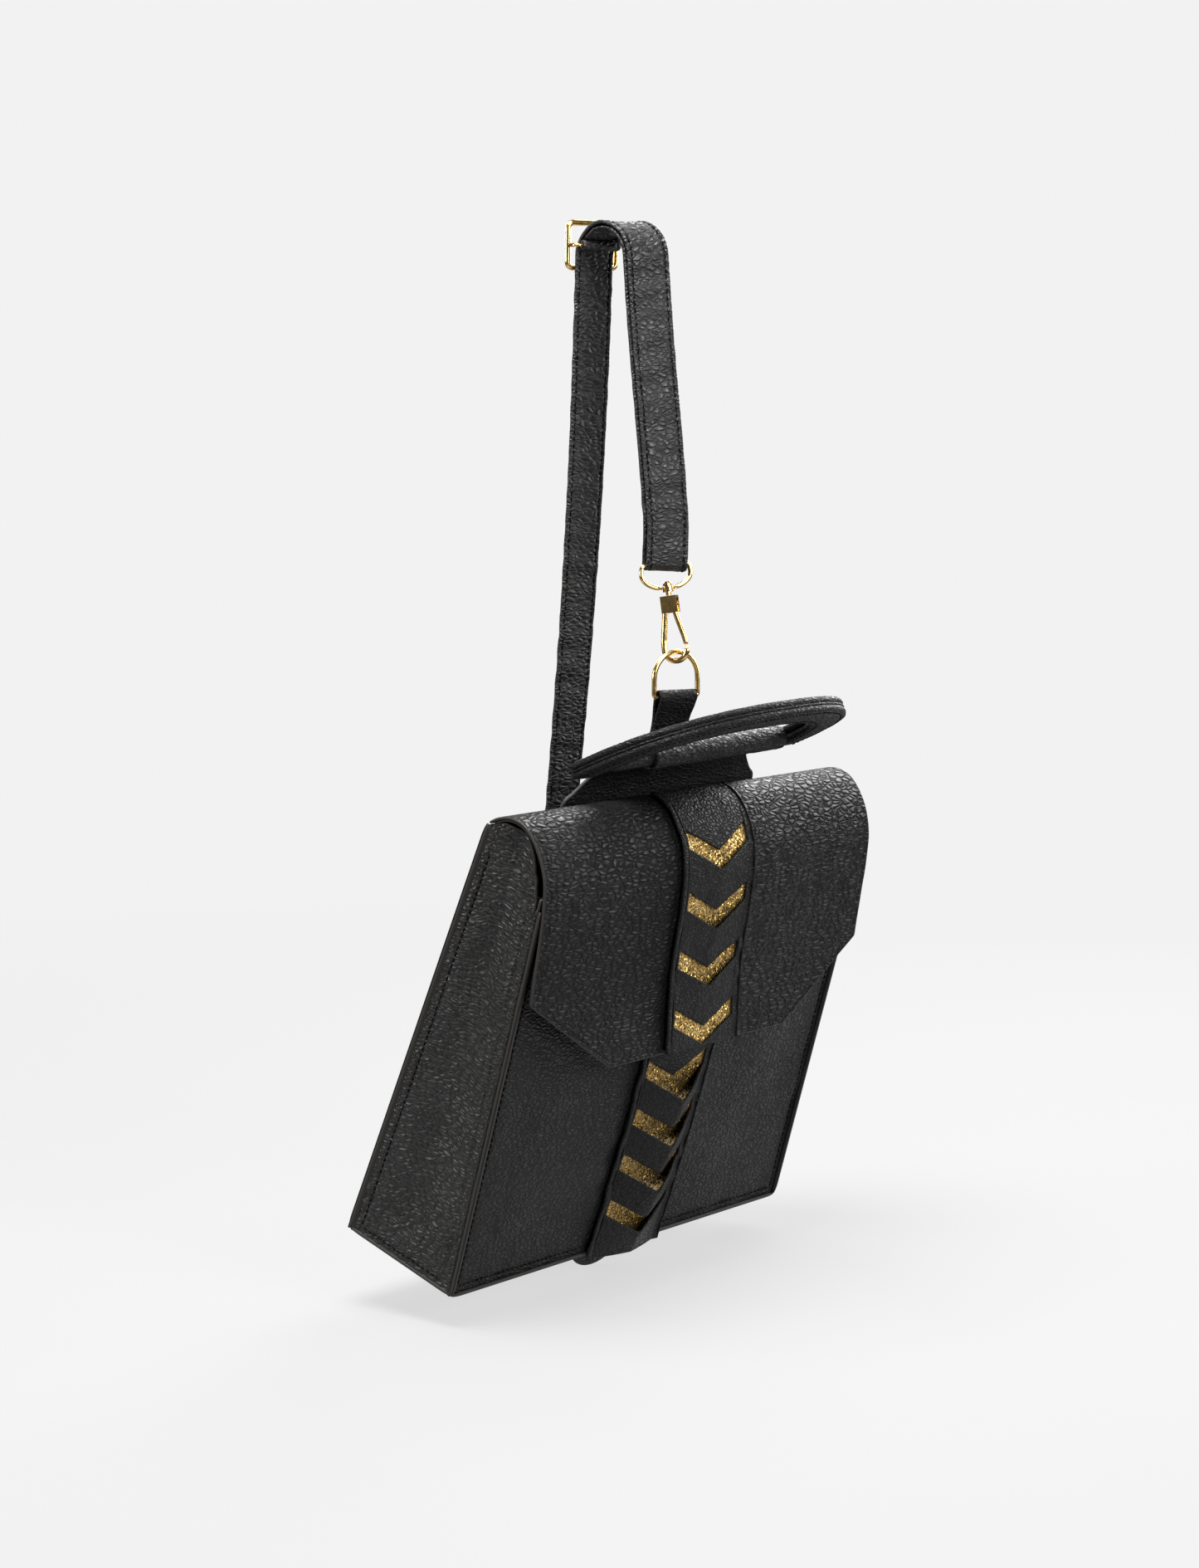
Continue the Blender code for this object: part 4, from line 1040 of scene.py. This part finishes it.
def strap():
    half = STRAP_THICK / 2
    path, twist = [], []
    for d in np.arange(REAR_LENGTH, 0, -5.0):
        path.append(rear_leg_at(d, half))
        twist.append(REAR_TWIST * (1 - d / REAR_LENGTH))
    for a in np.linspace(math.pi - REAR_LEAN, FRONT_LEAN, 30):
        path.append(arch_at(ARCH_OUTER + half, a))
        twist.append(arch_twist(a))
    for d in np.arange(5.0, 152.0, 5.0):
        path.append(front_leg_at(ARCH_OUTER + half, d) + np.array((0, 0.5 * math.sin(d / 26.0), 0)))
        twist.append(FRONT_TWIST)
    outward = turn_matrix(FRONT_TWIST) @ np.array((0, -1.0, 0))
    down = np.array((0, 0, -1.0))
    for a in np.radians(np.arange(0, 181, 15.0)):
        path.append(LOOP_BAR + 2.85 * (outward * math.cos(a) + down * math.sin(a)))
        twist.append(FRONT_TWIST)
    for d in np.arange(150.0, 1.0, -5.0):
        path.append(front_leg_at(ARCH_INNER + half, d) + np.array((0, 0.5 * math.sin(d / 26.0), 0)))
        twist.append(FRONT_TWIST)
    for a in np.linspace(FRONT_LEAN, math.radians(86), 14):
        path.append(arch_at(ARCH_INNER + half, a))
        twist.append(arch_twist(a))
    path = np.array(path)
    rows = resample(np.column_stack([path, twist]), 1.6)
    path, twist = rows[:, :3], rows[:, 3]
    sides = turned(twist)
    near_bar = np.exp(-(np.linalg.norm(path - LOOP_BAR, axis=1) / 9.0) ** 2)
    droop = -math.sin(math.radians(9.5)) * math.sin(math.radians(FRONT_TWIST))
    sides = sides + near_bar[:, None] * np.array((0, 0, droop))
    profile = strip_profile(STRAP_WIDTH, STRAP_THICK, 33)
    groove = 1 - 0.4 * bump(np.abs(profile[:, 0]) - STRAP_SEAM, 0.7)
    profile = np.column_stack([profile[:, 0], profile[:, 1] * groove])
    sweep("strap_leather_run", path, sides, profile, STRAP_LEATHER, "body", relief=strap_wrinkles(131),
          taper=np.where(np.arange(len(path)) < 3, np.minimum(1, 0.8 + 0.1 * np.arange(len(path))), 1.0),
          stands_for=("strap_rear", "strap_arch_outer", "strap_arch_inner", "strap_front_outer",
                      "strap_front_inner", "strap_hook_fold"))
    tangent = unit(np.gradient(path, axis=0))
    side = unit(sides - tangent * np.sum(sides * tangent, axis=1, keepdims=True))
    up = np.cross(side, tangent)
    count = len(path)
    for offset in (-STRAP_SEAM, STRAP_SEAM):
        for face in (-1, 1):
            line = path + side * offset + up * face * (half - 0.28)
            keep = slice(3, count - 3)
            stitch("body", line[keep], up[keep] * face, pitch=3.8, length=2.7, radius=0.42)

    shown = []
    bar = SLIDER_AT + SLIDER_TURN @ np.array((0, SLIDER_BAR, 0))
    back = SLIDER_TURN @ np.array((0, 1.0, 0))
    high = SLIDER_TURN @ np.array((0, 0, 1.0))
    for a in np.linspace(math.radians(84), math.radians(122), 8):
        shown.append(arch_at(ARCH_INNER + half, a))
    for a in np.radians(np.arange(150, -161, -20.0)):
        shown.append(bar + 2.15 * (high * math.sin(a) - back * math.cos(a)))
    shown = resample(np.array(shown), 1.2)
    thin = strip_profile(24.2, 1.5, 15)
    t = np.linspace(0, 1, len(shown))
    end_twist = FRONT_TWIST - 6.0
    end = sweep("strap_sewn_end_leather", shown, turned(end_twist + (REAR_TWIST - end_twist) * t), thin,
                STRAP_LEATHER, None, relief=strap_wrinkles(137, 0.05), stands_for=("strap_sewn_end",))
    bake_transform(end)


strap()


def lower_patch():
    x = np.linspace(-22, 22, 40)
    u = np.linspace(-228.0, -HEIGHT + 0.2, 24)
    X, U = np.meshgrid(x, u)
    p = back_surface(X, U, 4.15 + 0.08 * soft_noise(X, U, 14, 141))
    closed_sheet("strap_patch", p, 1.7, -EF, STRIP_LEATHER, "body", ("lower_patch",))
    rim = [(-19, -230.5), (19, -230.5), (19, -251), (-19, -251), (-19, -230.5)]
    line = np.vstack([back_surface(px, pu, 4.1) for px, pu in rim])
    stitch("body", resample(line, 2.0), -EF)


def anchor_tab():
    """Doubled leather from the back panel up round the ring's bar."""
    low = bag(0, back_f(-32.0) - 3.7, -32.0)
    knee = bag(0, -5.4, 0.0)
    top = RING_AT
    stem = [low] + [knee + (top - knee) * part for part in (0, 0.25, 0.5, 0.75)]
    twist = (0, 0, 4, 9, 14)
    upward = unit(top - knee)
    out = unit(np.cross(turned(RING_TWIST), upward))
    layers = [[(*(p + out * sign * 0.95), a) for p, a in zip(stem, twist)] for sign in (1, -1)]
    loop = []
    for a in np.radians(np.arange(0, 181, 15.0)):
        loop.append((*(top + 2.9 * (out * math.cos(a) + upward * math.sin(a))), RING_TWIST))
    line = np.vstack([spline(layers[0] + [(*(top + out * 2.3 - upward * 5), 17.0)], 8), np.array(loop),
                      spline([(*(top - out * 2.3 - upward * 5), 17.0)] + layers[1][::-1], 8)])
    line = resample(line, 1.2)
    sweep("anchor_tab_leather", line[:, :3], turned(line[:, 3]), strip_profile(STRAP_WIDTH, 1.9, 15),
          HANDLE_LEATHER, "body", relief=strap_wrinkles(151, 0.07), stands_for=("anchor_tab",))
    for offset in (-10, 10):
        for sign in (1, -1):
            path = np.array([p + turned(a) * offset + out * sign * 1.95 for p, a in zip(stem[1:], twist[1:])])
            stitch("body", path, out * sign, pitch=3.4, length=2.4, radius=0.3)


lower_patch()
anchor_tab()


# ------------------------------------------------------------------ hardware

def wire(name, path, plane_normal, radius, body, node, cyclic=False):
    path = np.asarray(path, float)
    sweep(name, path, plane_normal, round_profile(radius, 16), BRASS, body, cyclic=cyclic,
          taper=None if cyclic else rounded_ends(len(path)), stands_for=(node,))


def arc(centre, radius_x, radius_y, first, last, steps):
    t = np.radians(np.linspace(first, last, steps))
    return np.stack([centre[0] + radius_x * np.cos(t), centre[1] + radius_y * np.sin(t)], axis=1)


def in_plane(matrix, origin, points):
    return origin + np.array([matrix @ np.array((s, 0, v)) for s, v in points])


def hardware():
    half, height = 14.6, 24.8
    shoulder = height - half
    outline = np.vstack([np.column_stack([np.linspace(-half + 2.0, half - 2.0, 16), np.zeros(16)]),
                         arc((half - 1.6, 1.6), 1.6, 1.6, -70, 0, 6),
                         arc((0, shoulder), half, half, 0, 180, 48),
                         arc((-half + 1.6, 1.6), 1.6, 1.6, 180, 250, 6)])
    turn = turn_matrix(RING_TWIST)
    wire("ring_wire", in_plane(turn, RING_AT, outline), turn @ EY, 1.4, "ring", "d_ring", True)

    floor = 2.2
    right = np.vstack([[(3.7, floor + 0.05)], arc((0, 10.6), 14.9, 8.4, -70, 0, 18),
                       arc((12.9, 10.6), 2.0, 5.0, 0, 90, 9)[1:]])
    left = right[::-1] * np.array((-1, 1))
    loop = np.vstack([right, np.column_stack([np.linspace(12.0, -12.0, 12), np.full(12, 15.6)]), left])
    loop[:, 1] -= 3.9 + floor
    turn = HOOK_LEAN @ turn_matrix(FRONT_TWIST)
    wire("loop_wire", in_plane(turn, SWIVEL_TOP, loop), turn @ EY, 1.3, "body", "hook_loop")

    hook = HOOK_LEAN @ np.array(Matrix.Rotation(-math.radians(69.0), 3, "Z"))
    normal = hook @ EY
    radius, bow = 6.4, -37.9
    route = np.vstack([spline([(-2.7, -9.8), (-3.0, -15.0), (-4.6, -24.0), (-6.2, bow + 5)], 8),
                       arc((0, bow), radius, radius, 180, 360, 30), [(radius, bow + 1.0)]])
    wire("hook_body_wire", in_plane(hook, SWIVEL_TOP, route), normal, 1.6, "hook", "hook_wire")
    lever = spline([(1.6, -12.6), (2.9, -20.0), (5.6, -31.0), (radius, -35.9)], 8)
    parts = [sweep_points(in_plane(hook, SWIVEL_TOP, lever), normal, round_profile(1.4, 14),
                          taper=rounded_ends(len(lever), first=False))]
    pivot = in_plane(hook, SWIVEL_TOP, [(1.6, -12.6)])[0]
    eye = np.array([pivot + normal * s for s in np.linspace(-1.5, 1.5, 5)])
    parts.append(sweep_points(eye, hook @ EX, round_profile(2.0, 20)))
    verts, faces = merge(parts)
    fix_normals(make("gate_lever", verts, faces, BRASS, "gate", ("hook_gate",)))

    wide, tall, corner, out = 16.0, 12.4, 3.0, 4.1
    outline = []
    for cx, cz, start in ((1, 1, 0), (-1, 1, 90), (-1, -1, 180), (1, -1, 270)):
        middle = (cx * (wide - corner), cz * (tall - corner))
        outline.append(arc(middle, corner, corner, start, start + 90, 8))
    outline = np.vstack(outline)
    outline = resample(np.vstack([outline, outline[:1]]), 1.2)[:-1]
    path = SLIDER_AT + np.array([SLIDER_TURN @ np.array((s, out, v)) for s, v in outline])
    sweep("slider_frame_wire", path, SLIDER_TURN @ EY, round_profile(1.6, 16), BRASS, "slider",
          cyclic=True, stands_for=("slider_frame",))
    inside = SLIDER_BAR
    route = spline([(-wide, out - 1.9), (-wide, inside + 1.8), (-wide + 1.8, inside), (-wide + 6, inside),
                    (wide - 6, inside), (wide - 1.8, inside), (wide, inside + 1.8), (wide, out - 1.9)], 6)
    path = SLIDER_AT + np.array([SLIDER_TURN @ np.array((s, n, 0)) for s, n in route])
    sweep("slider_bar_wire", path, SLIDER_TURN @ np.array((0, 0, 1)), round_profile(1.1, 14), BRASS, "slider",
          stands_for=("slider_bar",))


hardware()

for name in ("swivel_pin", "hook_box", "gate_rivet", "swivel_collar", "flap_magnet", "body_magnet"):
    node = NODES[name]
    node.data.materials.clear()
    node.data.materials.append(BRASS)
    soften = node.modifiers.new("soft_edges", "BEVEL")
    soften.width = 0.35 * MM
    soften.segments = 3
    soften.limit_method = "ANGLE"

for body, runs in STITCHES.items():
    verts, faces = merge(runs)
    make("stitches_" + body, verts, faces, THREAD, body)


# ------------------------------------------------------------------ floor, light and camera

LIGHTS = (                # name, place, width in m, power in W
    ("top", (-0.35, -0.1, 0.85), 0.8, 45.0),
    ("front", (-0.3, -1.9, 0.3), 0.9, 27.0),
    ("left", (-1.5, 1.2, 0.1), 0.8, 20.0),
    ("right", (1.5, -1.1, 0.0), 0.8, 13.0),
    ("rim", (1.3, 0.15, 0.5), 1.3, 42.0),
    ("back", (1.0, 2.0, 0.5), 1.0, 22.0),
)
LIGHT_TARGET = Vector((0.0, -0.08, -0.42))
SEEN_BRIGHTNESS, WORLD_LIGHT = 0.887, 0.1


def floor():
    """A pale floor under the bag's lowest point, fading out far from it."""
    bpy.ops.mesh.primitive_circle_add(vertices=96, radius=3.0, fill_type="NGON", location=(0, -0.05, FLOOR_Z))
    disc = bpy.context.object
    disc.name = "floor"
    material, tree, shader = node_material("pale_floor")
    shader.inputs["Base Color"].default_value = (0.085, 0.085, 0.085, 1)
    shader.inputs["Emission Color"].default_value = (1, 1, 1, 1)
    shader.inputs["Emission Strength"].default_value = 0.64
    shader.inputs["Roughness"].default_value = 0.95
    shader.inputs["Specular IOR Level"].default_value = 0.0
    where = tree.nodes.new("ShaderNodeTexCoord")
    length = tree.nodes.new("ShaderNodeVectorMath")
    length.operation = "LENGTH"
    tree.links.new(where.outputs["Object"], length.inputs[0])
    fade = remap(tree, length.outputs["Value"], 0.35, 1.5, 1.0, 0.0)
    tree.links.new(fade, shader.inputs["Alpha"])
    disc.data.materials.append(material)


def light(name, at, size, energy):
    data = bpy.data.lights.new(name, "AREA")
    data.shape = "DISK"
    data.size = size
    data.energy = energy
    obj = bpy.data.objects.new(name, data)
    bpy.context.scene.collection.objects.link(obj)
    obj.location = at
    obj.rotation_euler = (LIGHT_TARGET - Vector(at)).to_track_quat("-Z", "Y").to_euler()


def studio():
    """Lights, and a world that is bright to the camera but gives little light."""
    world = bpy.data.worlds.new("studio")
    bpy.context.scene.world = world
    world.use_nodes = True
    tree = world.node_tree
    seen = tree.nodes["Background"]
    seen.inputs["Color"].default_value = (1, 1, 1, 1)
    seen.inputs["Strength"].default_value = SEEN_BRIGHTNESS
    around = tree.nodes.new("ShaderNodeBackground")
    around.inputs["Color"].default_value = (1, 1, 1, 1)
    around.inputs["Strength"].default_value = WORLD_LIGHT
    rays = tree.nodes.new("ShaderNodeLightPath")
    mix = tree.nodes.new("ShaderNodeMixShader")
    tree.links.new(rays.outputs["Is Camera Ray"], mix.inputs["Fac"])
    tree.links.new(around.outputs[0], mix.inputs[1])
    tree.links.new(seen.outputs[0], mix.inputs[2])
    tree.links.new(mix.outputs[0], tree.nodes["World Output"].inputs["Surface"])
    bpy.context.scene.view_settings.view_transform = "Standard"
    for lamp in LIGHTS:
        light(*lamp)


def camera():
    data = bpy.data.cameras.new("photo_camera")
    data.lens = CAMERA_LENS
    data.sensor_width = 36.0
    data.sensor_fit = "AUTO"
    data.clip_start = 0.05
    obj = bpy.data.objects.new("photo_camera", data)
    bpy.context.scene.collection.objects.link(obj)
    ahead = Vector((math.sin(CAMERA_AZIMUTH) * math.cos(CAMERA_DROP),
                    math.cos(CAMERA_AZIMUTH) * math.cos(CAMERA_DROP), -math.sin(CAMERA_DROP)))
    obj.location = CAMERA_AT
    turn = ahead.to_track_quat("-Z", "Y").to_matrix() @ Matrix.Rotation(CAMERA_ROLL, 3, "Z")
    obj.rotation_euler = turn.to_euler()
    bpy.context.scene.camera = obj


floor()
studio()
camera()
